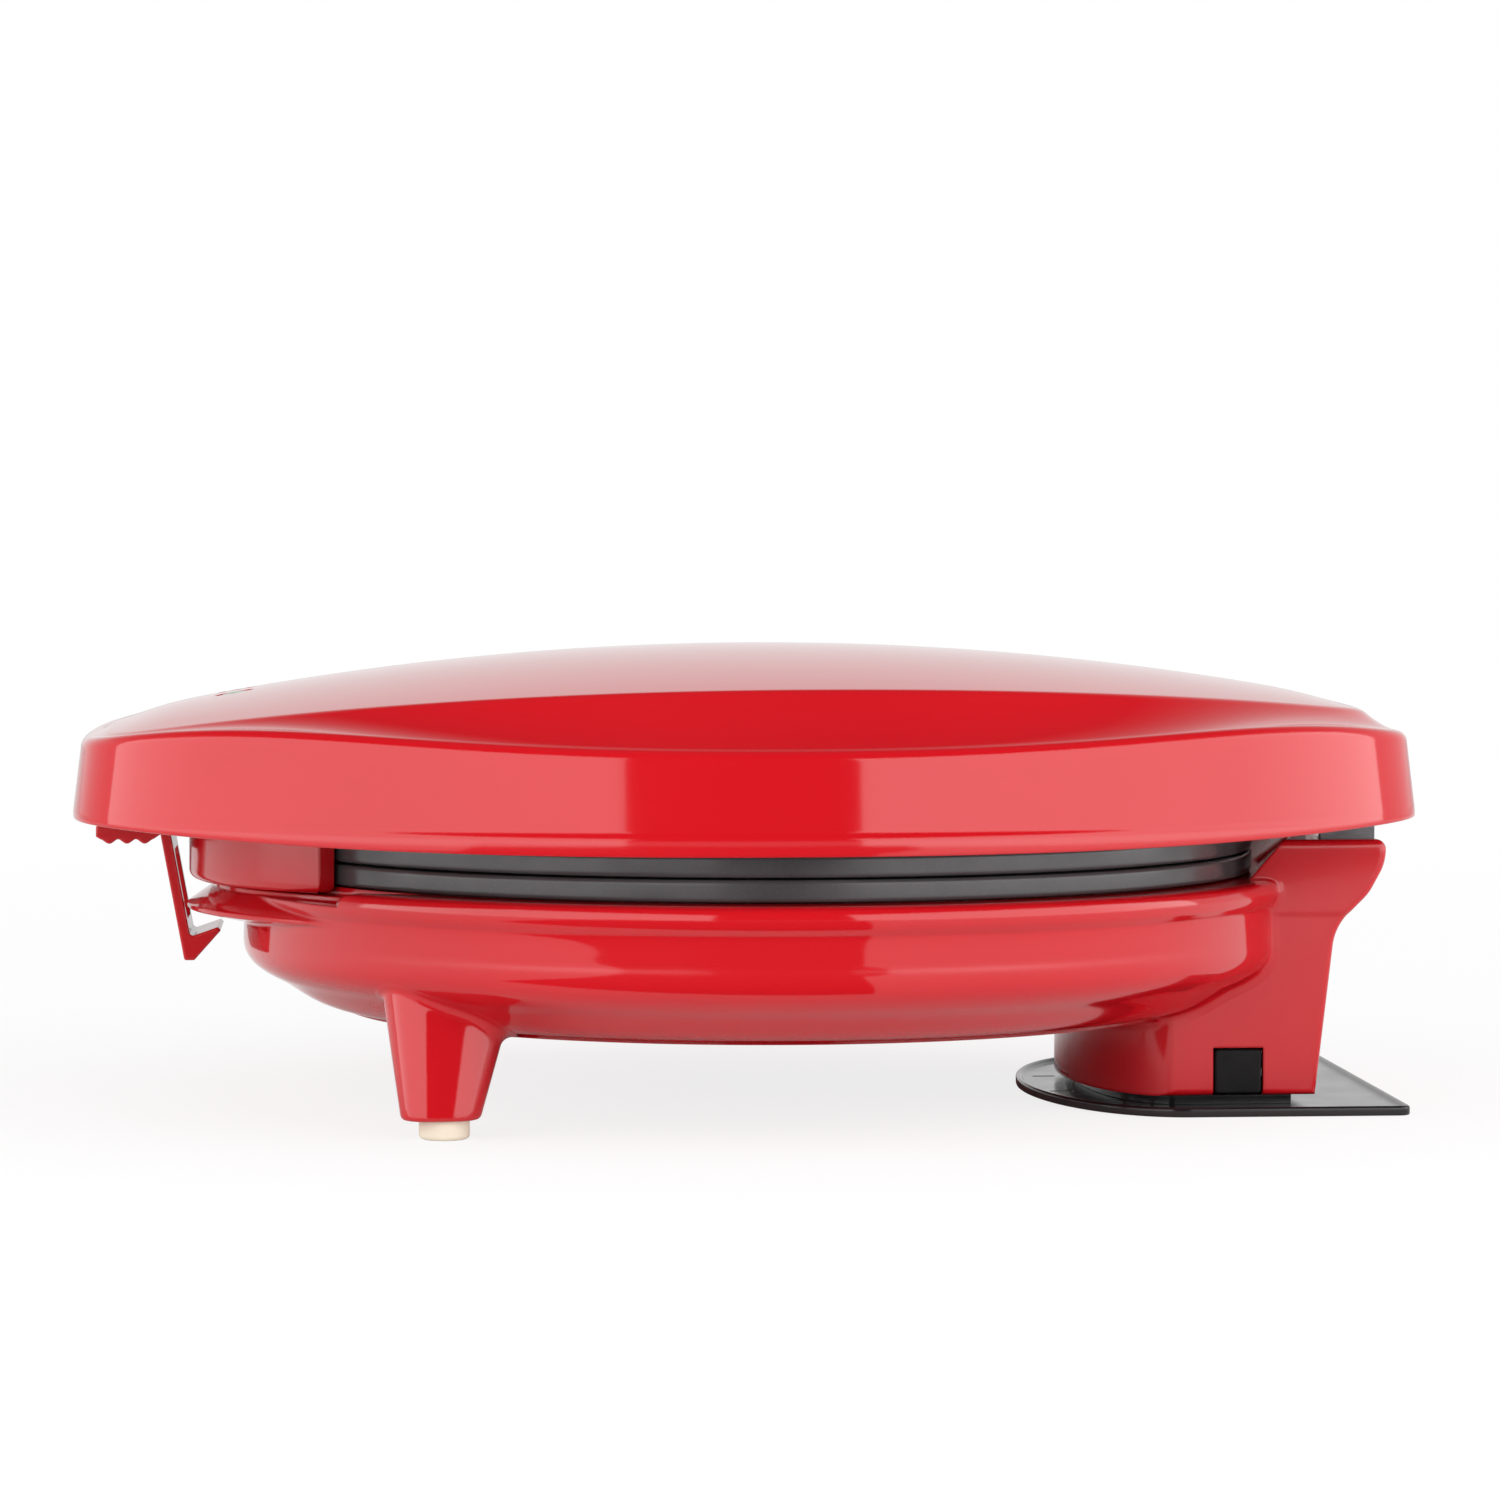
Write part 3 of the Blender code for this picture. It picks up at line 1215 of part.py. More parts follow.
def carry(empty, pieces, origin):
    # Hangs the pieces, and the tools of their modifiers, on the empty at their joint's axis
    waiting = list(pieces)
    while waiting:
        piece = waiting.pop()
        if piece.parent is not None:
            continue
        piece.parent = empty
        piece.location = [here - there for here, there in zip(piece.location, origin)]
        for step in piece.modifiers:
            if step.type == "BOOLEAN":
                waiting.append(step.object)


footprint_shift = -(lid_front_x + lid_rear_x) / 2
maker = add_empty("maker_origin", None, (footprint_shift, 0.0, 0.0))
lid_hinge = add_empty("lid_hinge", maker, (hinge_x, 0.0, hinge_z))
latch_pivot = add_empty("latch_pivot", lid_hinge, (latch_x - hinge_x, 0.0, latch_z - hinge_z))
carry(maker, base_pieces, (0.0, 0.0, 0.0))
carry(lid_hinge, lid_pieces, (hinge_x, 0.0, hinge_z))
carry(latch_pivot, latch_pieces, (latch_x, 0.0, latch_z))
bpy.context.view_layer.update()
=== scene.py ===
# Looks of the sandwich and waffle maker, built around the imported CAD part.
# Shapes are laid out about the middle of the cooking plates, and dress() moves each one to the row frame.

import json
import math

import bmesh
import bpy
from mathutils import Matrix, Vector


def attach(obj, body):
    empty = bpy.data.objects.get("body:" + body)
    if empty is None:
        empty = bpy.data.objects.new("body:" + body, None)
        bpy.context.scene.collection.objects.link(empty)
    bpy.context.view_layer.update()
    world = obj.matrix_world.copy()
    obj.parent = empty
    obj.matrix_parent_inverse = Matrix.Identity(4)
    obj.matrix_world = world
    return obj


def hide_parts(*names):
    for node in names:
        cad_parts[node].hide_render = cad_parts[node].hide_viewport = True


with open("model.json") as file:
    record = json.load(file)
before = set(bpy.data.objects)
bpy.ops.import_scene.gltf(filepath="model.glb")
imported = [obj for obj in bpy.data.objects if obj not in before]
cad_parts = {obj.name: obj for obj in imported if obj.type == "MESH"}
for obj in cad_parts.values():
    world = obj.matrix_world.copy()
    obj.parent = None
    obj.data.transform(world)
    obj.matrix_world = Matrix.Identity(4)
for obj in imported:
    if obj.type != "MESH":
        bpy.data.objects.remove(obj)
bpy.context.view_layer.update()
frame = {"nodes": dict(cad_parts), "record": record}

world = bpy.context.scene
plateShift = 0.006       # from the plates' middle to the middle of the footprint
overrun = 0.003          # how far a cutter reaches past what it cuts
flatWeight = 60          # how much more a large face counts than a small one in the normals
tau = 2 * math.pi


# Mesh helpers

def addMesh(name, verts, faces):
    mesh = bpy.data.meshes.new(name)
    mesh.from_pydata(verts, [], faces)
    mesh.update()
    thing = bpy.data.objects.new(name, mesh)
    world.collection.objects.link(thing)
    return thing


def turnOutwards(thing):
    shape = bmesh.new()
    shape.from_mesh(thing.data)
    bmesh.ops.remove_doubles(shape, verts=shape.verts, dist=0.0000005)
    bmesh.ops.recalc_face_normals(shape, faces=shape.faces)
    shape.to_mesh(thing.data)
    shape.free()
    return thing


def lathe(name, profile, steps=256, centre=(0.0, 0.0), ring=False):
    # Turns (radius, height) points about a vertical axis. Ends at radius 0 become poles
    verts, rows, faces = [], [], []
    for r, z in profile:
        if r < 1e-7:
            rows.append([len(verts)] * steps)
            verts.append((centre[0], centre[1], z))
            continue
        rows.append(list(range(len(verts), len(verts) + steps)))
        for i in range(steps):
            a = tau * i / steps
            verts.append((centre[0] + r * math.cos(a), centre[1] + r * math.sin(a), z))
    pairs = list(zip(rows, rows[1:]))
    if ring:
        pairs.append((rows[-1], rows[0]))
    for up, down in pairs:
        for i in range(steps):
            j = (i + 1) % steps
            face = []
            for v in (up[i], down[i], down[j], up[j]):
                if v not in face:
                    face.append(v)
            if len(face) > 2:
                faces.append(face)
    return turnOutwards(addMesh(name, verts, faces))


def gridFaces(rows, count, closed=True):
    # Four-sided faces between rows of points that are stored one after the other
    steps = count if closed else count - 1
    faces = []
    for k in range(rows - 1):
        for i in range(steps):
            j = (i + 1) % count
            faces.append((k * count + i, k * count + j, (k + 1) * count + j, (k + 1) * count + i))
    return faces


def loftLoops(name, loops):
    # Joins closed loops of the same number of points, with a cap at each end
    count = len(loops[0])
    verts = [p for loop in loops for p in loop]
    faces = gridFaces(len(loops), count)
    faces.append(tuple(reversed(range(count))))
    faces.append(tuple(range(len(verts) - count, len(verts))))
    return turnOutwards(addMesh(name, verts, faces))


def drum(name, radius, low, high, steps=256):
    # A plain upright cylinder about the plates' axis
    return lathe(name, [(0.0, high), (radius, high), (radius, low), (0.0, low)], steps)


def screwHole(name, narrow, wide, levels, steps, centre):
    # A hole with a wider sink for the screw's head. Levels are its top, the sink's top and its bottom
    high, sink, low = levels
    profile = [(0.0, high), (narrow, high), (narrow, sink), (wide, sink), (wide, low), (0.0, low)]
    return lathe(name, profile, steps, centre)


def rectangle(left, low, right, high):
    return [(left, low), (right, low), (right, high), (left, high)]


def quarter(radius, steps):
    # A quarter round from the edge inwards, as (depth, rise) points
    turns = [math.pi / 2 * k / steps for k in range(steps + 1)]
    return [(radius * (1 - math.sin(t)), radius * (1 - math.cos(t))) for t in turns]


def between(start, end, share):
    return start * (1 - share) + end * share


def arc(centre, radius, start, end, count):
    return [(centre[0] + radius * math.cos(start + (end - start) * i / (count - 1)),
             centre[1] + radius * math.sin(start + (end - start) * i / (count - 1)))
            for i in range(count)]


def inset(points, distance):
    # Moves a closed counter-clockwise loop inwards
    moved, count = [], len(points)
    for i, (x, y) in enumerate(points):
        before, after = points[i - 1], points[(i + 1) % count]
        ax, ay = x - before[0], y - before[1]
        bx, by = after[0] - x, after[1] - y
        la, lb = math.hypot(ax, ay) or 1.0, math.hypot(bx, by) or 1.0
        nx, ny = -(ay / la + by / lb), ax / la + bx / lb
        square = nx * nx + ny * ny
        if square < 1e-9:
            moved.append((x, y))
            continue
        scale = min(2 / square, 1.6 / math.sqrt(square))
        moved.append((x + nx * scale * distance, y + ny * scale * distance))
    return moved


def rounded(points, radius, closed=True, steps=6):
    # Rounds the corners of an outline. Radius is one number or one for each corner
    count = len(points)
    radii = radius if isinstance(radius, (list, tuple)) else [radius] * count
    made = []
    for i, p in enumerate(points):
        if radii[i] <= 0 or (not closed and i in (0, count - 1)):
            made.append(tuple(p))
            continue
        p = Vector(p)
        toBefore = Vector(points[i - 1]) - p
        toAfter = Vector(points[(i + 1) % count]) - p
        angle = toBefore.angle(toAfter)
        if angle > math.pi - 0.03:
            made.append(tuple(p))
            continue
        reach = min(radii[i] / math.tan(angle / 2), 0.48 * toBefore.length, 0.48 * toAfter.length)
        r = reach * math.tan(angle / 2)
        a, b = p + toBefore.normalized() * reach, p + toAfter.normalized() * reach
        middle = p + (toBefore.normalized() + toAfter.normalized()).normalized() * (r / math.sin(angle / 2))
        va, vb = a - middle, b - middle
        turn = math.atan2(va.x * vb.y - va.y * vb.x, va.dot(vb))
        for k in range(steps + 1):
            t = turn * k / steps
            made.append((middle.x + va.x * math.cos(t) - va.y * math.sin(t),
                         middle.y + va.x * math.sin(t) + va.y * math.cos(t)))
    return made


def smoothed(points, per=6):
    # A Catmull-Rom curve through open points
    made = []
    for i in range(len(points) - 1):
        p0, p1 = points[max(i - 1, 0)], points[i]
        p2, p3 = points[i + 1], points[min(i + 2, len(points) - 1)]
        for k in range(per):
            t = k / per
            made.append(tuple(0.5 * (2 * b + (c - a) * t + (2 * a - 5 * b + 4 * c - d) * t * t
                                     + (3 * b - a - 3 * c + d) * t ** 3)
                              for a, b, c, d in zip(p0, p1, p2, p3)))
    return made + [tuple(points[-1])]


def area(points):
    return sum(a[0] * b[1] - b[0] * a[1] for a, b in zip(points, points[1:] + points[:1])) / 2


def prism(name, outline, low, high, edge=0.0, along="Z", steps=5):
    # An outline with a thickness and rounded rims
    if area(outline) < 0:
        outline = list(reversed(outline))
    stack = [(0.0, low), (0.0, high)]
    if edge > 0:
        stack = [(depth, low + rise) for depth, rise in quarter(edge, steps)]
        stack += [(depth, low + high - z) for depth, z in reversed(stack)]
    loops = []
    for depth, z in stack:
        loop = inset(outline, depth) if depth > 0 else outline
        loops.append([(u, v, z) if along == "Z" else (u, z, v) for u, v in loop])
    return loftLoops(name, loops)


def box(name, low, high):
    return prism(name, rectangle(*low[:2], *high[:2]), low[2], high[2])


def bake(thing):
    # Applies the modifiers that are on a piece
    bpy.context.view_layer.update()
    graph = bpy.context.evaluated_depsgraph_get()
    mesh = bpy.data.meshes.new_from_object(thing.evaluated_get(graph))
    thing.modifiers.clear()
    thing.data = mesh
    return thing


def carve(thing, tools, operation="DIFFERENCE"):
    for tool in tools:
        step = thing.modifiers.new("carve", "BOOLEAN")
        step.operation = operation
        step.solver = "EXACT"
        step.object = tool
    bake(thing)
    for tool in tools:
        bpy.data.objects.remove(tool, do_unlink=True)
    return thing


def joined(name, things):
    shape = bmesh.new()
    for thing in things:
        shape.from_mesh(thing.data)
    mesh = bpy.data.meshes.new(name)
    shape.to_mesh(mesh)
    shape.free()
    for thing in things:
        bpy.data.objects.remove(thing, do_unlink=True)
    made = bpy.data.objects.new(name, mesh)
    world.collection.objects.link(made)
    return made


def mirrored(thing):
    # A copy on the other side of the maker
    mesh = thing.data.copy()
    mesh.transform(Matrix.Scale(-1, 4, (0, 1, 0)))
    mesh.flip_normals()
    made = bpy.data.objects.new(thing.name + "Far", mesh)
    world.collection.objects.link(made)
    return made


def smooth(thing, degrees=32):
    # Large flat faces keep their own direction next to small rounded ones
    thing.data.shade_smooth()
    thing.data.set_sharp_from_angle(angle=math.radians(degrees))
    even = thing.modifiers.new("even", "WEIGHTED_NORMAL")
    even.keep_sharp = True
    even.weight = flatWeight
    return bake(thing)


def dress(thing, body, finish, slotName, *nodes, degrees=32):
    # Puts a finished piece in its place in the row frame, parents it to its body and hides the CAD parts it
    # stands for
    thing.data.transform(Matrix.Translation((plateShift, 0, 0)) @ thing.matrix_world)
    thing.matrix_world = Matrix.Identity(4)
    smooth(thing, degrees)
    thing.data.materials.clear()
    thing.data.materials.append(finish)
    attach(thing, body)
    if nodes:
        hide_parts(*nodes)
    return thing


# Finishes

def setInputs(tree, node, inputs):
    # Each input takes a plain value or another node's output
    for key, value in inputs.items():
        if isinstance(value, bpy.types.NodeSocket):
            tree.links.new(value, node.inputs[key])
        else:
            node.inputs[key].default_value = value


def addNode(tree, kind, inputs=None, **settings):
    node = tree.nodes.new(kind)
    for key, value in settings.items():
        setattr(node, key, value)
    setInputs(tree, node, inputs or {})
    return node.outputs


def mapRange(tree, source, fromLow, fromHigh, low, high):
    values = {"Value": source, "From Min": fromLow, "From Max": fromHigh, "To Min": low, "To Max": high}
    return addNode(tree, "ShaderNodeMapRange", values)["Result"]


def mathNode(tree, operation, first, second, clamp=False):
    return addNode(tree, "ShaderNodeMath", {0: first, 1: second}, operation=operation, use_clamp=clamp)[0]


class Nodes:
    # Short hand for building a material's nodes
    def __init__(self, name):
        self.material = bpy.data.materials.new(name)
        self.material.use_nodes = True
        self.tree = self.material.node_tree
        self.place = addNode(self.tree, "ShaderNodeTexCoord")["Object"]

    def noise(self, scale, detail=3.0, rough=0.5):
        values = {"Vector": self.place, "Scale": scale, "Detail": detail, "Roughness": rough}
        return addNode(self.tree, "ShaderNodeTexNoise", values)["Fac"]

    def remap(self, source, low, high, fromLow=0.3, fromHigh=0.7):
        return mapRange(self.tree, source, fromLow, fromHigh, low, high)

    def blend(self, amount, first, second):
        values = {0: amount, 6: (*first, 1), 7: (*second, 1)}
        return addNode(self.tree, "ShaderNodeMix", values, data_type="RGBA")[2]

    def finished(self, inputs, layers, roundEdges):
        # Fills the shader's inputs, with layers of bump over softened edges
        normal = addNode(self.tree, "ShaderNodeBevel", {"Radius": roundEdges}, samples=6)["Normal"]
        for height, strength, distance in layers:
            values = {"Strength": strength, "Distance": distance, "Height": height, "Normal": normal}
            normal = addNode(self.tree, "ShaderNodeBump", values)["Normal"]
        setInputs(self.tree, self.tree.nodes["Principled BSDF"], {**inputs, "Normal": normal})
        return self.material


def mixFinish(name, light, deep, tint, smudge, rough, grain, edge, more=None):
    # Two tones, an uneven roughness, layers of grain and softened edges. More holds other inputs
    n = Nodes(name)
    inputs = {**(more or {}), "Base Color": n.blend(n.remap(n.noise(*tint), 0, 1), light, deep)}
    if smudge:
        inputs["Roughness"] = n.remap(n.noise(*smudge), *rough)
    return n.finished(inputs, [(n.noise(*scale), strength, depth) for scale, strength, depth in grain], edge)


plasticLook = {
    "tint": (9.0, 2.0), "smudge": (38.0, 4.0, 0.6),
    "more": {"IOR": 1.5, "Coat Weight": 0.15, "Coat Roughness": 0.03},
    # the long soft waves of a moulding, and its fine grain
    "grain": [((14.0, 1.0), 0.10, 0.00004), ((1500.0, 2.0), 0.12, 0.000003)],
}
# The cover and the pan are glossy, the frame and the clip are satin
redGloss = mixFinish("red_gloss", (0.480, 0.0066, 0.0115), (0.440, 0.0050, 0.0095),
                     rough=(0.055, 0.085), edge=0.0009, **plasticLook)
redSatin = mixFinish("red_satin", (0.46, 0.006, 0.010), (0.42, 0.0045, 0.008),
                     rough=(0.13, 0.19), edge=0.0005, **plasticLook)


coatLook = {"dark": (0.050, 0.048, 0.051), "light": (0.095, 0.092, 0.096), "roughness": (0.19, 0.27),
            "speckScale": 1400.0, "pebble": 900.0}


def nonStickCoat():
    c = coatLook
    n = Nodes("plate_coat")
    values = {"Vector": n.place, "Scale": c["speckScale"]}
    specks = addNode(n.tree, "ShaderNodeTexVoronoi", values, feature="F1")["Distance"]
    dots = n.remap(specks, 1.0, 0.0, 0.05, 0.22)
    cloud = n.remap(n.noise(60.0, 3.0), 0.0, 0.35)
    share = mathNode(n.tree, "ADD", mathNode(n.tree, "MULTIPLY", dots, 0.6), cloud, clamp=True)
    inputs = {"Base Color": n.blend(share, c["dark"], c["light"]),
              "Roughness": n.remap(n.noise(220.0, 3.0), *c["roughness"])}
    return n.finished(inputs, [(n.noise(c["pebble"], 3.0, 0.6), 0.25, 0.00002)], 0.0006)


plateCoat = nonStickCoat()


def sheetMetal(name, light, deep, roughness, scale, stretch):
    n = Nodes(name)
    stretched = addNode(n.tree, "ShaderNodeMapping", {"Vector": n.place, "Scale": stretch})["Vector"]
    values = {"Vector": stretched, "Scale": scale, "Detail": 4.0, "Roughness": 0.6}
    lines = addNode(n.tree, "ShaderNodeTexNoise", values)["Fac"]
    inputs = {"Base Color": n.blend(n.remap(lines, 0, 1), light, deep),
              "Roughness": n.remap(n.noise(70.0, 3.0), *roughness), "Metallic": 1.0}
    return n.finished(inputs, [(lines, 0.15, 0.00001)], 0.0002)


def lensGlass(name, colour):
    return mixFinish(name, colour, tuple(c * 0.7 for c in colour), (200.0, 2.0), None, None,
                     [((300.0, 1.0), 0.1, 0.00001)], 0.0003,
                     {"Roughness": 0.06, "Transmission Weight": 0.35, "Coat Weight": 0.5})


# Each one: two tones, the noise between them, the noise of the roughness and its range, grain, edge
blackPlastic = mixFinish("black_plastic", (0.006, 0.006, 0.007), (0.011, 0.010, 0.012), (30.0, 3.0),
                         (90.0, 3.0), (0.13, 0.19), [((1100.0, 3.0, 0.65), 0.30, 0.00002)], 0.0004)
blackRubber = mixFinish("gland_rubber", (0.004, 0.004, 0.004), (0.007, 0.007, 0.007), (60.0, 3.0),
                        (300.0, 3.0), (0.55, 0.70), [((1500.0, 3.0), 0.35, 0.00002)], 0.0004,
                        {"Specular IOR Level": 0.2})
creamRubber = mixFinish("cream_rubber", (0.74, 0.68, 0.55), (0.66, 0.60, 0.48), (120.0, 4.0),
                        (260.0, 3.0), (0.55, 0.72), [((1600.0, 3.0), 0.35, 0.00002)], 0.0003)
ceramic = mixFinish("ceramic", (0.78, 0.76, 0.70), (0.70, 0.67, 0.60), (300.0, 4.0),
                    (500.0, 2.0), (0.45, 0.6), [((1800.0, 3.0), 0.3, 0.00001)], 0.0003)
# Each metal: two tones, the range of roughness, the scale of its lines and their stretch
zincSteel = sheetMetal("zinc_steel", (0.36, 0.36, 0.37), (0.28, 0.28, 0.29), (0.34, 0.44), 260.0, (1, 1, 6))
# The hinge bracket's steel is much darker than the zinc steel: painted shade for the dark gap between the
# cover's rim and the tower's top
shadedBracketSteel = sheetMetal("bracket_steel", (0.17, 0.17, 0.175), (0.12, 0.12, 0.125), (0.36, 0.46),
                          260.0, (1, 1, 6))
springSteel = sheetMetal("spring_steel", (0.58, 0.58, 0.59), (0.48, 0.48, 0.50), (0.2, 0.3), 500.0, (1, 1, 1))
elementSteel = sheetMetal("element_steel", (0.34, 0.32, 0.29), (0.25, 0.22, 0.20), (0.38, 0.5),
                          120.0, (1, 1, 1))
bareAluminium = sheetMetal("bare_aluminium", (0.76, 0.76, 0.77), (0.66, 0.66, 0.67), (0.22, 0.34),
                           180.0, (1, 8, 1))
lensRed = lensGlass("lens_red", (0.55, 0.015, 0.015))
lensGreen = lensGlass("lens_green", (0.02, 0.36, 0.06))
lampGlass = lensGlass("lamp_glass", (0.75, 0.70, 0.62))
print("finishes made")


# Lid cover

lidCover = {
    "frontX": -0.1527, "rearX": 0.1402, "widestX": -0.0045, "halfWidth": 0.1185,
    "frontSideRadius": 0.215, "rearSideRadius": 0.198, "endBow": 0.80, "cornerPower": 34,
    "rimZ": 0.0607, "rimRise": 0.0043, "risePower": 3, "tipReach": 0.148,
    "skirtTopZ": 0.0650, "skirtRise": 0.0010, "skirtStep": 0.0008,
    "draft": 0.0017, "wallTopZ": 0.0796, "wallRound": 0.0025, "wallBulge": 0.0033, "bulgePower": 2.4,
    "topZ": 0.101, "domeRadius": 0.670,
    "creaseHalfWidth": 0.0990, "creaseFrontRadius": 0.252, "creaseRearRadius": 0.192,
    "creaseFrontInset": 0.0055, "creaseRearInset": 0.0100, "creaseLeast": 0.0026,
    "hollow": 0.0010, "creaseRound": 0.0010, "wall": 0.0021, "mergeRun": 0.0045, "dropRun": 0.0090,
    "around": 400, "lightX": -0.118, "lightY": 0.009, "lightHole": 0.0043,
}


def rayToCircle(angle, cx, cy, radius):
    along = cx * math.cos(angle) + cy * math.sin(angle)
    return along + math.sqrt(along ** 2 - cx ** 2 - cy ** 2 + radius ** 2)


def lidReach(angle, halfWidth, frontRadius, rearRadius, frontInset, rearInset):
    c = lidCover
    side = abs(math.atan2(math.sin(angle), math.cos(angle)))
    radius = frontRadius if side > math.atan2(halfWidth, c["widestX"]) else rearRadius
    toSide = rayToCircle(side, c["widestX"], halfWidth - radius, radius)
    if math.cos(side) < 0:
        toEnd = rayToCircle(side, c["frontX"] + frontInset + c["endBow"], 0.0, c["endBow"])
    else:
        toEnd = rayToCircle(side, c["rearX"] - rearInset - c["endBow"], 0.0, c["endBow"])
    power = c["cornerPower"]
    return toSide * (1 + (toSide / toEnd) ** power) ** (-1 / power)


def wallReach(angle, depth):
    c = lidCover
    return lidReach(angle, c["halfWidth"] - depth, c["frontSideRadius"] - depth,
                    c["rearSideRadius"] - depth, depth, depth)


def creaseReach(angle):
    c = lidCover
    reach = lidReach(angle, c["creaseHalfWidth"], c["creaseFrontRadius"], c["creaseRearRadius"],
                     c["creaseFrontInset"], c["creaseRearInset"])
    edge = wallReach(angle, c["skirtStep"] + c["draft"] + c["wallRound"])
    soft = 0.0012
    gap = edge - c["creaseLeast"] - reach
    return reach - soft * math.log1p(math.exp(-gap / soft))


def domeZ(x, y):
    return lidCover["topZ"] - (x * x + y * y) / (2 * lidCover["domeRadius"])


def lidAngles(count):
    # Closer together where the outline turns
    fine = [tau * i / 6000 for i in range(6001)]
    spots = [(wallReach(a, 0) * math.cos(a), wallReach(a, 0) * math.sin(a)) for a in fine]
    heads = [math.atan2(q[1] - p[1], q[0] - p[0]) for p, q in zip(spots, spots[1:])]
    total = sum(math.dist(p, q) for p, q in zip(spots, spots[1:]))
    measure = [0.0]
    for i, head in enumerate(heads):
        turn = abs((head - heads[i - 1] + math.pi) % tau - math.pi)
        measure.append(measure[-1] + math.dist(spots[i], spots[i + 1]) / total + 0.8 * turn / tau)
    chosen, j = [], 0
    for k in range(count):
        wanted = measure[-1] * (k + 0.5) / count
        while measure[j] < wanted:
            j += 1
        share = (wanted - measure[j - 1]) / (measure[j] - measure[j - 1])
        chosen.append(fine[j - 1] + share * (fine[j] - fine[j - 1]))
    return chosen


def sideShare(angle):
    # 0 at the widest place and 1 at the front and rear tips
    c = lidCover
    x = wallReach(angle, 0) * math.cos(angle)
    return min(abs(x - c["widestX"]) / c["tipReach"], 1.0)


def wallTop(angle):
    # The wall stands highest along the sides, on the way to the corners
    c = lidCover
    return c["wallTopZ"] + c["wallBulge"] * math.sin(math.pi * sideShare(angle) ** c["bulgePower"])


def makeLidCover():
    c = lidCover
    angles = lidAngles(c["around"])
    rings = []

    def ring(depth, height):
        row = []
        for a in angles:
            reach = wallReach(a, depth(a) if callable(depth) else depth)
            row.append((reach * math.cos(a), reach * math.sin(a), height(a)))
        rings.append(row)

    def rimZ(a):
        return c["rimZ"] + c["rimRise"] * sideShare(a) ** c["risePower"]

    def step(a):
        # The skirt's step fades towards the tips
        return c["skirtStep"] * (1 - sideShare(a) ** 2)

    def skirt(a):
        # Rim height, height of the bead's middle, and half the height of the bead
        low = rimZ(a)
        middle = c["skirtTopZ"] + c["skirtRise"] * sideShare(a) ** c["risePower"]
        return low, middle, min(0.0009, (middle - low) * 0.38)

    rimRound, rimFlat = 0.0005, 0.4
    for depth, rise in quarter(rimRound, 4):
        ring(depth, lambda a: skirt(a)[0] + rise * rimFlat)
    for share in (0.5, 1.0):
        ring(0.0, lambda a: between(skirt(a)[0] + rimRound * rimFlat, skirt(a)[1] - skirt(a)[2], share))
    for k in range(1, 9):
        t = k / 8
        ease = t * t * (3 - 2 * t)
        ring(lambda a: step(a) * ease, lambda a: skirt(a)[1] + skirt(a)[2] * (2 * t - 1))
    for k in range(1, 7):
        t = k / 6
        ring(lambda a: step(a) + c["draft"] * t,
             lambda a: between(skirt(a)[1] + skirt(a)[2], wallTop(a), t))
    r = c["wallRound"]
    for k in range(1, 10):
        t = math.pi / 2 * k / 9
        ring(lambda a: step(a) + c["draft"] + r * (1 - math.cos(t)), lambda a: wallTop(a) + r * math.sin(t))
    outer = rings[-1]
    crease = []
    for a, p in zip(angles, outer):
        x, y = creaseReach(a) * math.cos(a), creaseReach(a) * math.sin(a)
        z = domeZ(x, y)
        gap = math.dist((x, y), p[:2])
        # Where the crease comes close to the wall, it comes down to the wall's top edge
        near = math.exp(-(gap / c["mergeRun"]) ** 2)
        drop = max(z - p[2] - 0.0004, 0.0) * near
        crease.append((x, y, z - drop, drop, gap))
    shoulder = 16

    def shoulderPoint(p, q, t):
        # Leaves the wall's top edge nearly level, and rises in a shallow scoop to the ridge
        sink = c["hollow"] * min(q[4] / c["mergeRun"] / 3, 1.0) * 4 * t * (1 - t)
        return tuple(between(p[n], q[n], t) - (sink if n == 2 else 0) for n in range(3))

    def topPoint(q, inward):
        reach = math.hypot(q[0], q[1])
        share = (reach - inward) / reach
        x, y = q[0] * share, q[1] * share
        return x, y, domeZ(x, y) - q[3] * math.exp(-(inward / c["dropRun"]) ** 2)

    creases = []
    for p, q in zip(outer, crease):
        run = min(c["creaseRound"] / max(q[4], 1e-6), 0.4)
        creases.append((run, shoulderPoint(p, q, 1 - run), topPoint(q, c["creaseRound"])))
    for k in range(1, shoulder + 1):
        rings.append([shoulderPoint(p, q, (1 - e[0]) * k / shoulder)
                      for p, q, e in zip(outer, crease, creases)])
    for k in range(1, 7):
        t = k / 6
        rings.append([tuple(e[1][n] * (1 - t) ** 2 + 2 * q[n] * t * (1 - t) + e[2][n] * t * t
                            for n in range(3))
                      for q, e in zip(crease, creases)])
    for inward in (0.0025, 0.004, 0.006, 0.0085, 0.0115, 0.015, 0.019, 0.024):
        rings.append([topPoint(q, inward) for q in crease])
    start = rings[-1]
    domeRings = 22
    for k in range(1, domeRings):
        share = 1 - k / domeRings
        rings.append([(x * share, y * share, domeZ(x * share, y * share)) for x, y, z in start])
    verts = [p for one in rings for p in one]
    count = len(angles)
    faces = gridFaces(len(rings), count)
    top = len(verts)
    verts.append((0.0, 0.0, c["topZ"]))
    for i in range(count):
        faces.append(((len(rings) - 1) * count + i, (len(rings) - 1) * count + (i + 1) % count, top))
    cover = addMesh("lidCover", verts, faces)
    wall = cover.modifiers.new("wall", "SOLIDIFY")
    wall.thickness = c["wall"]
    wall.offset = -1.0
    bake(cover)
    holes = []
    for side in (1, -1):
        hole = drum("lightHole", c["lightHole"], -0.008, 0.004, 64)
        onDome(hole, c["lightX"], side * c["lightY"])
        holes.append(hole)
    return carve(cover, holes)


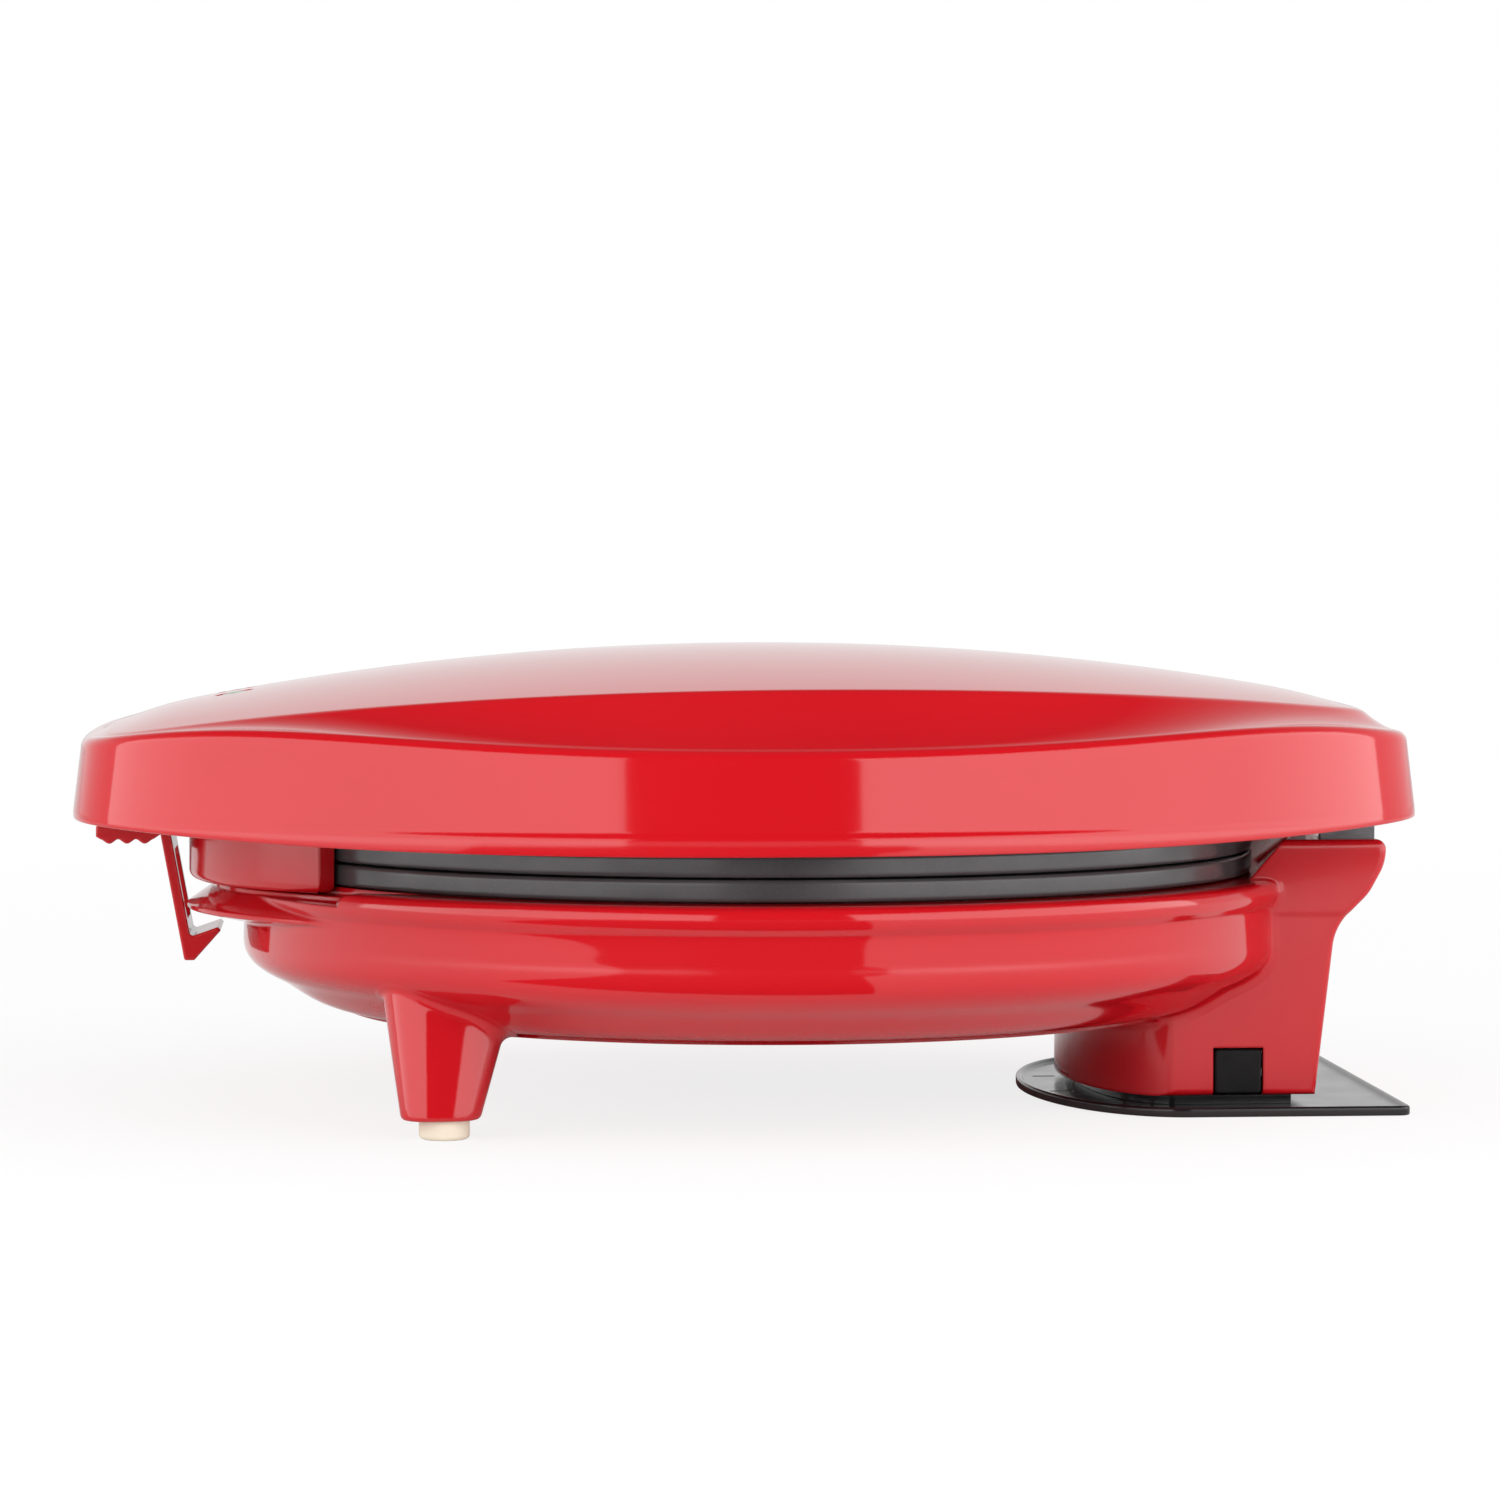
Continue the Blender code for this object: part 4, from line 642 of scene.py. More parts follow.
def onDome(thing, x, y):
    # Stands a turned piece square on the cover's top
    radius = lidCover["domeRadius"]
    place = Matrix.Translation((x, y, domeZ(x, y)))
    turn = Matrix.Rotation(math.asin(x / radius), 4, "Y") @ Matrix.Rotation(-math.asin(y / radius), 4, "X")
    thing.data.transform(place @ turn)


dress(makeLidCover(), "lid", redGloss, "red_gloss", "lid_shell", degrees=50)
print("lid cover made")


# Indicator lights

lights = {"lens": 0.0040, "flange": 0.0058, "flangeHeight": 0.0012, "sunk": 0.0003, "crown": 0.0004,
          "seatGap": 0.0007, "bumps": 5}


def makeLens(name, side):
    c = lights
    below = -lidCover["wall"] - c["seatGap"]
    crown = []
    for k in range(13):                     # shallow rings moulded in the lens's top
        r = c["lens"] * k / 12
        z = c["crown"] * (1 - (k / 12) ** 2) - c["sunk"]
        z += 0.00004 * math.cos(c["bumps"] * tau * k / 12)
        crown.append((r, z))
    profile = crown + [(c["lens"], below), (c["flange"], below),
                       (c["flange"], below - c["flangeHeight"]), (0.0, below - c["flangeHeight"])]
    lens = lathe(name, profile, 72)
    onDome(lens, lidCover["lightX"], side * lidCover["lightY"])
    return lens


dress(makeLens("powerLens", 1), "lid", lensRed, "lens_red", "power_lens", degrees=40)
dress(makeLens("readyLens", -1), "lid", lensGreen, "lens_green", "ready_lens", degrees=40)


# Cooking plates

plates = {
    "radius": 0.109, "rim": 0.0046, "lowerSeam": 0.0555, "upperSeam": 0.0559, "bodyRadius": 0.1030,
    "depth": 0.0096, "recess": 0.098, "recessDepth": 0.0024, "edge": 0.0009,
    "pitch": 0.0245, "rib": 0.0040, "pocketDepth": 0.0072, "taper": 0.0022, "cross": 0.0040,
    "each": 4, "corner": 0.0022, "floorRound": 0.0012,
}


def pocketShape():
    # One tapered pocket with rounded corners, its mouth at z 0 and its floor below
    c = plates
    half = (c["pitch"] - c["rib"]) / 2
    deep = c["pocketDepth"] - c["recessDepth"]
    # The mouth flares a little, so it cuts cleanly through the plate's face
    flare = 0.0004
    stack = [(half + overrun * c["taper"] / deep + flare, overrun), (half + flare, 0.0002), (half, -0.0003)]
    floorHalf = half - c["taper"]
    stack.append((floorHalf + c["taper"] * c["floorRound"] / deep, -deep + c["floorRound"]))
    for k in range(1, 5):
        t = math.pi / 2 * k / 4
        stack.append((floorHalf - c["floorRound"] * (1 - math.cos(t)),
                      -deep + c["floorRound"] * (1 - math.sin(t))))
    loops = []
    for size, z in reversed(stack):
        square = rounded(rectangle(-size, -size, size, size), c["corner"], steps=5)
        loops.append([(x, y, z) for x, y in square])
    return loftLoops("pocketShape", loops)


def instanceTree(name):
    # Puts one shape on every point, at a size, and makes real geometry of it
    tree = bpy.data.node_groups.new(name, "GeometryNodeTree")
    plugs = {}
    kinds = {"Geometry": "Geometry", "Shape": "Object", "Size": "Float", "Finish": "Material"}
    for key, kind in kinds.items():
        plugs[key] = tree.interface.new_socket(key, in_out="INPUT", socket_type="NodeSocket" + kind)
    tree.interface.new_socket("Geometry", in_out="OUTPUT", socket_type="NodeSocketGeometry")
    plugs["Size"].default_value = 1.0
    start = addNode(tree, "NodeGroupInput")
    source = addNode(tree, "GeometryNodeObjectInfo", {"Object": start["Shape"]})["Geometry"]
    placed = {"Points": start["Geometry"], "Instance": source, "Scale": start["Size"]}
    made = addNode(tree, "GeometryNodeInstanceOnPoints", placed)["Instances"]
    real = addNode(tree, "GeometryNodeRealizeInstances", {"Geometry": made})["Geometry"]
    painted = {"Geometry": real, "Material": start["Finish"]}
    addNode(tree, "NodeGroupOutput",
            {"Geometry": addNode(tree, "GeometryNodeSetMaterial", painted)["Geometry"]})
    return tree, {key: plug.identifier for key, plug in plugs.items()}


repeatTree, repeatInputs = instanceTree("repeatOnPoints")


def repeated(name, shape, places, finish):
    # One copy of the shape at each place, as a plain mesh
    thing = addMesh(name, places, [])
    step = thing.modifiers.new("repeat", "NODES")
    step.node_group = repeatTree
    step[repeatInputs["Shape"]] = shape
    step[repeatInputs["Size"]] = 1.0
    step[repeatInputs["Finish"]] = finish
    bake(thing)
    bpy.data.objects.remove(shape, do_unlink=True)
    return thing


def makePlate(name, seam, up):
    c = plates
    steps = rounded([
        (0.0, c["recessDepth"]), (c["recess"], c["recessDepth"]), (c["recess"] + c["recessDepth"] / 2, 0.0),
        (c["radius"], 0.0), (c["radius"], c["rim"]), (c["bodyRadius"], c["rim"]),
        (c["bodyRadius"], c["depth"]), (0.0, c["depth"]),
    ], [0, 0.0012, 0.0006, c["edge"], c["edge"], 0, 0.001, 0], closed=False, steps=5)
    plate = lathe(name, [(r, seam + up * d) for r, d in steps], 320)
    places = []
    for i in range(-c["each"], c["each"]):
        for j in range(-c["each"], c["each"]):
            u, v = (i + 0.5) * c["pitch"], (j + 0.5) * c["pitch"]
            u += math.copysign(c["cross"] / 2, u)
            v += math.copysign(c["cross"] / 2, v)
            if math.hypot(u, v) < c["recess"] + c["rib"]:
                places.append((u, v, 0.0))
    pockets = repeated(name + "Pockets", pocketShape(), places, plateCoat)
    if up > 0:
        pockets.data.transform(Matrix.Scale(-1, 4, (0, 0, 1)))
        pockets.data.flip_normals()
    pockets.data.transform(Matrix.Translation((0, 0, seam + up * c["recessDepth"])))
    edge = drum("pocketEdge", c["recess"] - c["rib"] / 2, seam - 0.012, seam + 0.012)
    carve(pockets, [edge], "INTERSECT")
    return carve(plate, [pockets])


dress(makePlate("lowerPlate", plates["lowerSeam"], -1),
      "base", plateCoat, "plate_coat", "lower_plate", degrees=35)
dress(makePlate("upperPlate", plates["upperSeam"], 1),
      "lid", plateCoat, "plate_coat", "upper_plate", degrees=35)
print("plates made")


# Lower casing: pan, nose, legs, hinge tower

pan = {
    "radius": 0.118, "bottom": 0.0200, "lipTop": 0.0506, "lipInner": 0.1065, "wall": 0.0025,
    "shares": [(0.979, 1.0), (0.994, 0.978), (1.0, 0.924), (0.998, 0.864), (0.991, 0.820), (0.9864, 0.782),
               (0.9855, 0.62), (0.985, 0.473), (0.974, 0.379), (0.951, 0.304), (0.915, 0.230), (0.868, 0.114),
               (0.832, 0.058), (0.797, 0.035), (0.784, 0.009), (0.602, 0.0)],
    "innerWall": 0.1137, "innerCurve": [(0.1137, 0.0345), (0.1100, 0.0290), (0.1010, 0.0232)],
    "innerFloor": 0.0930, "lipFlat": 0.0006, "steps": 320,
}
block = {"centreX": -0.059, "radius": 0.0693, "bottom": 0.0493, "edge": 0.0020, "clear": 0.0012,
         "end": 0.0016, "lap": 0.0008, "around": 240, "trim": 14}
nose = {"reach": 0.0005, "top": 0.0477, "bottom": 0.0403, "tip": 0.0429, "tipHeight": 0.0009,
        "bevel": 0.0056, "underRun": 0.0115, "inner": 0.1045, "sillBack": 0.0004, "sill": 0.0011,
        "blend": 0.0030, "wall": 0.1156, "lipCut": 0.0785, "rootBack": -0.020, "widest": 62,
        "fadePower": 6, "fadeDrop": 0.0012, "around": 240}
leg = {"x": -0.0739, "y": 0.0800, "topX": -0.0718, "topY": 0.0682, "bottom": 0.0042, "top": 0.0330,
       "bottomRadius": 0.0080, "topRadius": 0.0142, "lobes": 0.09, "turn": 13, "around": 120,
       "foot": 0.0009, "fillet": 0.0030, "sunk": 0.0012}
tower = {
    "half": 0.047, "top": 0.0592, "bottom": 0.0036, "frontX": 0.067, "sideX": 0.0866, "footRearX": 0.1168,
    "neckX": 0.1211, "neckZ": 0.0402, "bulgeX": 0.1322, "bulgeZ": 0.0555, "bellyX": 0.1284, "bellyZ": 0.0474,
    "edge": 0.0015, "wall": 0.0025, "seat": 0.0031, "lean": 0.0069, "fillet": 0.0026, "filletRearX": 0.135,
    "filletLap": 0.0004, "stepZ": 0.0430, "stepDepth": 0.0005, "stepSoft": 0.0007,
}
notch = {"frontX": 0.0942, "rearX": 0.1052, "top": 0.0140}   # where the gland sits in the column's side
hinge = {"x": 0.1245, "y": 0.040, "ear": 0.0060, "thick": 0.0020,
         "gap": 0.0006, "sideGap": 0.0005, "slotBottom": 0.0460}
panDepth = pan["lipTop"] - pan["bottom"]


def panOuter():
    # The outer side of the pan from its lip down to the flat belly
    points = [(r * pan["radius"], pan["bottom"] + z * panDepth) for r, z in pan["shares"]]
    return smoothed(points, 7)


def crescent(name, radius, low, high, innerRadius):
    # What lies inside an upright cylinder about the block's axis and outside one about the plates' axis
    profile = [(0.0, high), (radius, high), (radius, low), (0.0, low)]
    body = lathe(name, profile, pan["steps"], (block["centreX"], 0.0))
    return carve(body, [drum(name + "Cut", innerRadius, low - overrun, high + overrun, pan["steps"])])


def panInner():
    # The inner side of the pan, from under its lip down to the middle of its floor
    floorZ = pan["bottom"] + pan["wall"]
    return [(pan["innerWall"], pan["lipTop"] - pan["wall"]), *pan["innerCurve"],
            (pan["innerFloor"], floorZ), (0.0, floorZ)]


def makePan():
    lipTop = pan["lipTop"]
    inner = [(pan["lipInner"], lipTop), (pan["lipInner"], lipTop - pan["wall"])] + panInner()
    profile = inner[::-1] + [(pan["shares"][0][0] * pan["radius"] - pan["lipFlat"], lipTop)] + panOuter()
    profile += [(0.0, pan["bottom"])]
    body = lathe("pan", profile, pan["steps"])
    space = crescent("blockSpace", nose["lipCut"], nose["top"] - 0.0001, lipTop + overrun, plates["radius"])
    return carve(body, [space])


def makeNose():
    # A flange that stands out at the front and runs smoothly into the pan's side
    c = nose
    widest = math.radians(c["widest"])
    sillEnd, root = -c["bevel"] - c["sillBack"], c["rootBack"]
    section = rounded([
        (root, c["top"] + c["sill"]), (sillEnd, c["top"] + c["sill"]), (sillEnd, c["top"]),
        (-c["bevel"], c["top"]), (0.0, c["tip"] + c["tipHeight"]), (0.0, c["tip"]),
        (-c["underRun"], c["bottom"]), (root, c["bottom"]),
    ], [0, 0.0003, 0.0004, 0.002, 0.0006, 0.0006, 0.003, 0], False, 6)
    loops = []
    for i in range(c["around"] + 1):
        a = math.pi - widest + 2 * widest * i / c["around"]
        front = rayToCircle(a, block["centreX"], 0.0, block["radius"] + c["reach"])
        reach = c["wall"] + c["blend"] * math.log1p(math.exp((front - c["wall"]) / c["blend"]))
        reach -= (abs(a - math.pi) / widest) ** c["fadePower"] * c["fadeDrop"]
        loop = []
        for u, z in section:
            r = max(reach + u, c["inner"])
            loop.append((r * math.cos(a), r * math.sin(a), z))
        loops.append(loop)
    return loftLoops("nose", loops)


def nearestOnPan(r, z, outline, normals):
    # Distance to the pan's outer side, how far outside that is, and the pan's direction there
    best, outside, direction = 1e9, 0.0, None
    for (pr, pz), (nr, nz) in zip(outline, normals):
        d = math.hypot(r - pr, z - pz)
        if d < best:
            best, outside, direction = d, (r - pr) * nr + (z - pz) * nz, (nr, nz)
    return best, outside, direction


def panDistance(r, z, outline, normals):
    # How far a point is outside the pan's outer side. Close to it the nearest point is too coarse
    best, outside, direction = nearestOnPan(r, z, outline, normals)
    return math.copysign(best, outside) if best > 0.0008 else outside


def outlineNormals(outline):
    normals = []
    for i in range(len(outline)):
        a, b = outline[max(i - 1, 0)], outline[min(i + 1, len(outline) - 1)]
        dr, dz = b[0] - a[0], b[1] - a[1]
        length = math.hypot(dr, dz)
        normals.append((-dz / length, dr / length))
    return normals


def bendBetween(middle, start, end, steps):
    # Points of the rolling ball's arc from one touch point to the other
    a, b = Vector(start) - Vector(middle), Vector(end) - Vector(middle)
    angle = a.angle(b)
    made = []
    for k in range(steps + 1):
        t = k / steps
        v = (a * math.sin((1 - t) * angle) + b * math.sin(t * angle)) / math.sin(angle)
        made.append(tuple(Vector(middle) + v))
    return made


def makeLeg(side):
    # A tapered rounded triangle that runs into the pan with a rolled fillet
    outline = panOuter()
    normals = outlineNormals(outline)
    outward = math.atan2(side * leg["y"], leg["x"]) + side * math.radians(leg["turn"])
    f = leg["fillet"]

    def wallSpot(a, z):
        t = (z - leg["bottom"]) / (leg["top"] - leg["bottom"])
        size = leg["bottomRadius"] + (leg["topRadius"] - leg["bottomRadius"]) * t
        r = size * (1 + leg["lobes"] * math.cos(3 * (a - outward)))
        x = leg["x"] + (leg["topX"] - leg["x"]) * t + r * math.cos(a)
        y = side * (leg["y"] + (leg["topY"] - leg["y"]) * t) + r * math.sin(a)
        return Vector((x, y, z))

    def spot(a, z, out=0.0):
        along = wallSpot(a + 0.01, z) - wallSpot(a - 0.01, z)
        up = wallSpot(a, z + 0.0002) - wallSpot(a, z - 0.0002)
        n = along.cross(up).normalized()
        return wallSpot(a, z) + n * out, n

    def clear(a, z):
        p = spot(a, z, f)[0]
        return panDistance(math.hypot(p.x, p.y), p.z, outline, normals) > f

    columns = []
    for i in range(leg["around"]):
        a = tau * i / leg["around"]
        low = leg["bottom"] + 0.002
        while clear(a, low + 0.0005) and low < 0.040:
            low += 0.0005
        high = low + 0.0005
        for _ in range(14):
            z = (low + high) / 2
            low, high = (z, high) if clear(a, z) else (low, z)
        ball, n = spot(a, low, f)
        touchLeg = ball - n * f
        r = math.hypot(ball.x, ball.y)
        pick = nearestOnPan(r, ball.z, outline, normals)[2]
        panNormal = Vector((ball.x / r, ball.y / r, 0)) * pick[0] + Vector((0, 0, pick[1]))
        column = []
        for depth, rise in quarter(leg["foot"], 3):
            p = spot(a, leg["bottom"] + rise)[0]
            inward = Vector((leg["x"], side * leg["y"], p.z)) - p
            column.append(tuple(p + inward.normalized() * depth))
        for k in range(1, 14):
            z = leg["bottom"] + leg["foot"] + (touchLeg.z - leg["bottom"] - leg["foot"]) * k / 14
            column.append(tuple(spot(a, z)[0]))
        column += bendBetween(ball, touchLeg, ball - f * panNormal, 8)
        column.append(tuple(Vector(column[-1]) - leg["sunk"] * panNormal))
        columns.append(column)
    loops = [[columns[i][k] for i in range(leg["around"])] for k in range(len(columns[0]))]
    return loftLoops(f"leg{side}", loops)


def towerSide():
    c, e = tower, tower["edge"]
    top = c["top"]
    points = [
        (c["frontX"] - 0.003, top), (c["bulgeX"], top), (c["bulgeX"] - 0.0002, c["bulgeZ"] - e),
        (c["bellyX"], c["bellyZ"]), (c["neckX"], c["neckZ"]), (c["footRearX"], c["bottom"]),
        (c["frontX"] - 0.003, c["bottom"]),
    ]
    return rounded(points, [0, 0.0022, 0.012, 0.012, 0.012, 0, 0], True, 12)


def bowFront(x, front, half, count):
    # Half an ellipse that bulges forwards, from the far side to the near side
    turns = [math.pi / 2 + math.pi * i / count for i in range(count + 1)]
    return [(x + front * math.cos(t), half * math.sin(t)) for t in turns]


def columnPlan(depth, rearX):
    half = tower["half"] - depth
    front = tower["sideX"] - tower["frontX"] - depth
    return [(rearX, half)] + bowFront(tower["sideX"], front, half, 96) + [(rearX, -half)]


def makeTower():
    c = tower
    body = prism("tower", towerSide(), -c["half"], c["half"], c["edge"], along="Y", steps=6)
    low, high, rear = c["bottom"] - overrun, c["top"] + overrun, c["bulgeX"] + overrun
    carve(body, [prism("towerPlan", columnPlan(-0.0001, rear), low, high)], "INTERSECT")
    seat = plates["radius"] + c["seat"]
    extra = c["lean"] * overrun / (c["top"] - pan["lipTop"])
    tools = [lathe("towerSeat", [
        (0.0, high), (seat + c["lean"] + extra, high), (seat, pan["lipTop"]),
        (seat, pan["lipTop"] - pan["wall"] + 0.0005)] + panInner(), pan["steps"])]
    plan = columnPlan(c["wall"], c["footRearX"] - c["wall"])
    tools.append(prism("columnHollow", plan, low, pan["bottom"] - 0.0003))
    for side in (1, -1):
        half = hinge["thick"] / 2 + hinge["sideGap"]
        y = side * hinge["y"]
        tools.append(box("earSlot", (hinge["x"] - hinge["ear"] - hinge["gap"], y - half, hinge["slotBottom"]),
                         (rear, y + half, high)))
    tools.append(box("glandNotch", (notch["frontX"], -c["half"] - overrun, low),
                     (notch["rearX"], -c["half"] + c["wall"] + overrun, notch["top"])))
    return stepSides(carve(body, tools))


def easeIn(value, low, high):
    t = min(max((value - low) / (high - low), 0.0), 1.0)
    return t * t * (3 - 2 * t)


def stepSides(body):
    # The column's sides stand a little back below the hinge head, with a soft ledge between
    c = tower
    shape = bmesh.new()
    shape.from_mesh(body.data)
    levels = [((0, 0, c["stepZ"] + c["stepSoft"] * k / 4), (0, 0, 1)) for k in range(-4, 5)]
    levels += [((c["sideX"] + 0.0015 * k, 0, 0), (1, 0, 0)) for k in range(6)]
    for spot, direction in levels:
        everything = shape.verts[:] + shape.edges[:] + shape.faces[:]
        bmesh.ops.bisect_plane(shape, geom=everything, dist=1e-7, plane_co=spot, plane_no=direction)
    for v in shape.verts:
        if abs(v.co.y) > c["half"] - c["wall"]:
            back = easeIn(v.co.z, c["stepZ"] + c["stepSoft"], c["stepZ"] - c["stepSoft"])
            back *= easeIn(v.co.x, c["sideX"], c["sideX"] + 0.0075)
            v.co.y -= math.copysign(c["stepDepth"] * back, v.co.y)
    shape.to_mesh(body.data)
    shape.free()
    return body


def makeTowerFillet():
    # Rolled fillet between the pan and the column, all round the column's front
    f = tower["fillet"]
    outline = panOuter()
    normals = outlineNormals(outline)
    plan = []
    half, front = tower["half"] - tower["stepDepth"], tower["sideX"] - tower["frontX"]
    rearX, fine, lap = tower["filletRearX"], 300, tower["filletLap"]
    for i in range(fine):                   # from the flat side's rear end to the middle of the front
        plan.append((rearX - (rearX - tower["sideX"]) * i / (fine - 1), -half, 0.0, -1.0))
    for i in range(1, fine + 1):
        a = math.pi + math.pi / 2 * (1 - i / fine)
        nx, ny = math.cos(a) / front, math.sin(a) / half
        length = math.hypot(nx, ny)
        plan.append((tower["sideX"] + front * math.cos(a), half * math.sin(a), nx / length, ny / length))
    reaches = [math.hypot(x + f * nx, y + f * ny) for x, y, nx, ny in plan]
    columns = []
    k = 0
    for (r, z), (nr, nz) in zip(outline, normals):
        ballReach = r + f * nr
        if z > pan["lipTop"] - 0.0012 or ballReach < reaches[-1] + 0.00001:
            continue
        while k < len(reaches) - 2 and reaches[k + 1] > ballReach:
            k += 1
        share = (reaches[k] - ballReach) / (reaches[k] - reaches[k + 1])
        x, y, nx, ny = (a + (b - a) * share for a, b in zip(plan[k], plan[k + 1]))
        ball = Vector((x + f * nx, y + f * ny, z + f * nz))
        radial = Vector((ball.x, ball.y, 0)).normalized()
        touchWall = ball - f * Vector((nx, ny, 0)).normalized()
        panNormal = radial * nr + Vector((0, 0, nz))
        touchPan = ball - f * panNormal
        column = [tuple(touchWall - lap * Vector((nx, ny, 0)))]
        column += bendBetween(ball, touchWall, touchPan, 8)
        column.append(tuple(touchPan - lap * panNormal))
        columns.append(column)
    # The belly is flat, so the strip goes on round the front
    flatZ = pan["bottom"]
    flat = [p for p, reach in zip(plan, reaches) if reach < math.hypot(columns[-1][0][0], columns[-1][0][1])]
    for x, y, nx, ny in flat[::6] + [flat[-1]]:
        normal = Vector((nx, ny, 0)).normalized()
        ball = Vector((x, y, flatZ - f)) + f * normal
        column = [tuple(ball - normal * (f + lap))]
        column += bendBetween(ball, ball - f * normal, ball + Vector((0, 0, f)), 8)
        column.append(tuple(ball + Vector((0, 0, f + lap))))
        columns.append(column)
    verts = [p for column in columns for p in column]
    faces = gridFaces(len(columns), len(columns[0]), closed=False)
    strip = addMesh("towerFillet", verts, faces)
    shape = bmesh.new()
    shape.from_mesh(strip.data)
    shape.faces.ensure_lookup_table()
    shape.normal_update()
    probe = shape.faces[len(shape.faces) // 2]
    middle = probe.calc_center_median()
    if probe.normal.dot(Vector((0.09, 0.0, 0.035)) - middle) > 0:
        bmesh.ops.reverse_faces(shape, faces=shape.faces)
    shape.to_mesh(strip.data)
    shape.free()
    return strip


legPair = [makeLeg(1), makeLeg(-1)]
print("legs made")
filletNear = makeTowerFillet()
casingPieces = [makePan(), makeNose(), makeTower(), filletNear, mirrored(filletNear)] + legPair
dress(joined("casing", casingPieces), "base", redGloss, "red_gloss", "lower_casing", degrees=40)
print("casing made")


# Lid frame

lidFrame = {"bottom": 0.0656, "sheet": 0.0024, "inset": 0.0041, "hole": 0.1040, "skirt": 0.1078,
            "screws": [(-0.125, 0.045), (-0.066, 0.098), (0.120, 0.058)], "screwHole": (0.0016, 0.0033),
            "sink": 0.0017, "earGap": 0.0005, "earThick": 0.0034, "earRadius": 0.0030, "around": 260}
latch = {
    "x": -0.1335, "z": 0.0640, "half": 0.0125, "hub": 0.0032, "pin": 0.0015, "thumbX": -0.1483,
    "thumbTop": 0.0616, "thumbLow": 0.0584, "wave": 0.0010, "arm": 0.0023, "armTop": 0.0594,
    "footX": -0.1291, "footZ": 0.0316, "hookZ": 0.0368, "tipX": -0.1210, "tipZ": 0.0382,
    "tipLip": 0.0007, "foot": 0.0022, "notch": 0.0010, "edge": 0.0004, "frame": 0.0035, "leg": 0.0032,
    "pinGap": 0.0003, "springHalf": 0.004,
}


def makeLidFrame():
    c = lidFrame
    top = c["bottom"] + c["sheet"]
    outline = [(wallReach(a, c["inset"]) * math.cos(a), wallReach(a, c["inset"]) * math.sin(a))
               for a in lidAngles(c["around"])]
    sheet = prism("frameSheet", outline, c["bottom"], top, 0.0005)
    low, high = c["bottom"] - overrun, top + overrun
    tools = [drum("frameHole", c["hole"], low, high)]
    earInner = latch["half"] + c["earGap"]
    rearX = latch["x"] + latch["hub"] + latch["notch"]
    tools.append(box("latchNotch", (lidCover["frontX"], -earInner, low), (rearX, earInner, high)))
    half, reach = hinge["thick"] / 2 + hinge["sideGap"], hinge["ear"] + hinge["gap"]
    for side in (1, -1):
        tools.append(box("frameEarSlot", (hinge["x"] - reach, side * hinge["y"] - half, low),
                         (hinge["x"] + reach, side * hinge["y"] + half, high)))
        for x, y in c["screws"]:
            tools.append(screwHole("frameScrewHole", *c["screwHole"], (high, c["bottom"] + c["sink"], low),
                                   40, (x, side * y)))
    carve(sheet, tools)
    skirtLow, skirtHigh = plates["upperSeam"] + plates["rim"] + 0.0003, top - block["lap"]
    skirt = lathe("frameSkirt", rounded([(c["hole"], skirtHigh), (c["skirt"], skirtHigh),
                                         (c["skirt"], skirtLow), (c["hole"], skirtLow)],
                                        [0, 0, 0.0005, 0.0005], True, 4), 320, ring=True)
    ears = []
    for side in (1, -1):
        shape = arc((latch["x"], latch["z"]), c["earRadius"], -math.pi, 0.0, 24)
        shape += [(latch["x"] + c["earRadius"], top), (latch["x"] - c["earRadius"], top)]
        near, far = sorted((side * earInner, side * (earInner + c["earThick"])))
        ears.append(prism("latchEar", shape, near, far, 0.0004, along="Y"))
    return joined("lidFrame", [sheet, skirt, makeBlock(top)] + ears)


def makeBlock(top):
    # The front block with rounded ends, a full body that runs up into the frame's sheet.
    # Open fault: its edge is larger than the radius of its ends, so the outline of the underside
    # crosses itself there, and that face has stray triangles
    inner = plates["radius"] + block["clear"]
    count, trim = block["around"], block["trim"]
    # Where the two arcs meet
    turns = [math.pi / 2 + math.pi / 2 * i / 2000 for i in range(2000)]
    start = next(a for a in turns if rayToCircle(a, block["centreX"], 0.0, block["radius"]) > inner)
    outer, back = [], []
    for i in range(count + 1):
        a = start + (tau - 2 * start) * i / count
        r = rayToCircle(a, block["centreX"], 0.0, block["radius"])
        outer.append((r * math.cos(a), r * math.sin(a)))
        a = tau - start - (tau - 2 * start) * i / count
        back.append((inner * math.cos(a), inner * math.sin(a)))
    outline = outer[trim:-trim] + back[trim:-trim]
    seam = len(outer[trim:-trim])
    radii = [0.0] * len(outline)
    for i in (0, seam - 1, seam, len(outline) - 1):
        radii[i] = block["end"]
    outline = rounded(outline, radii, True, 8)
    stack = [(depth, block["bottom"] + rise) for depth, rise in quarter(block["edge"], 6)]
    stack.append((0.0, top - block["lap"]))
    loops = [[(x, y, z) for x, y in (inset(outline, depth) if depth > 1e-6 else outline)]
             for depth, z in stack]
    return loftLoops("frontBlock", loops)


dress(makeLidFrame(), "lid", redSatin, "red_satin", "lid_frame", degrees=40)
print("lid frame made")


# Latch clip

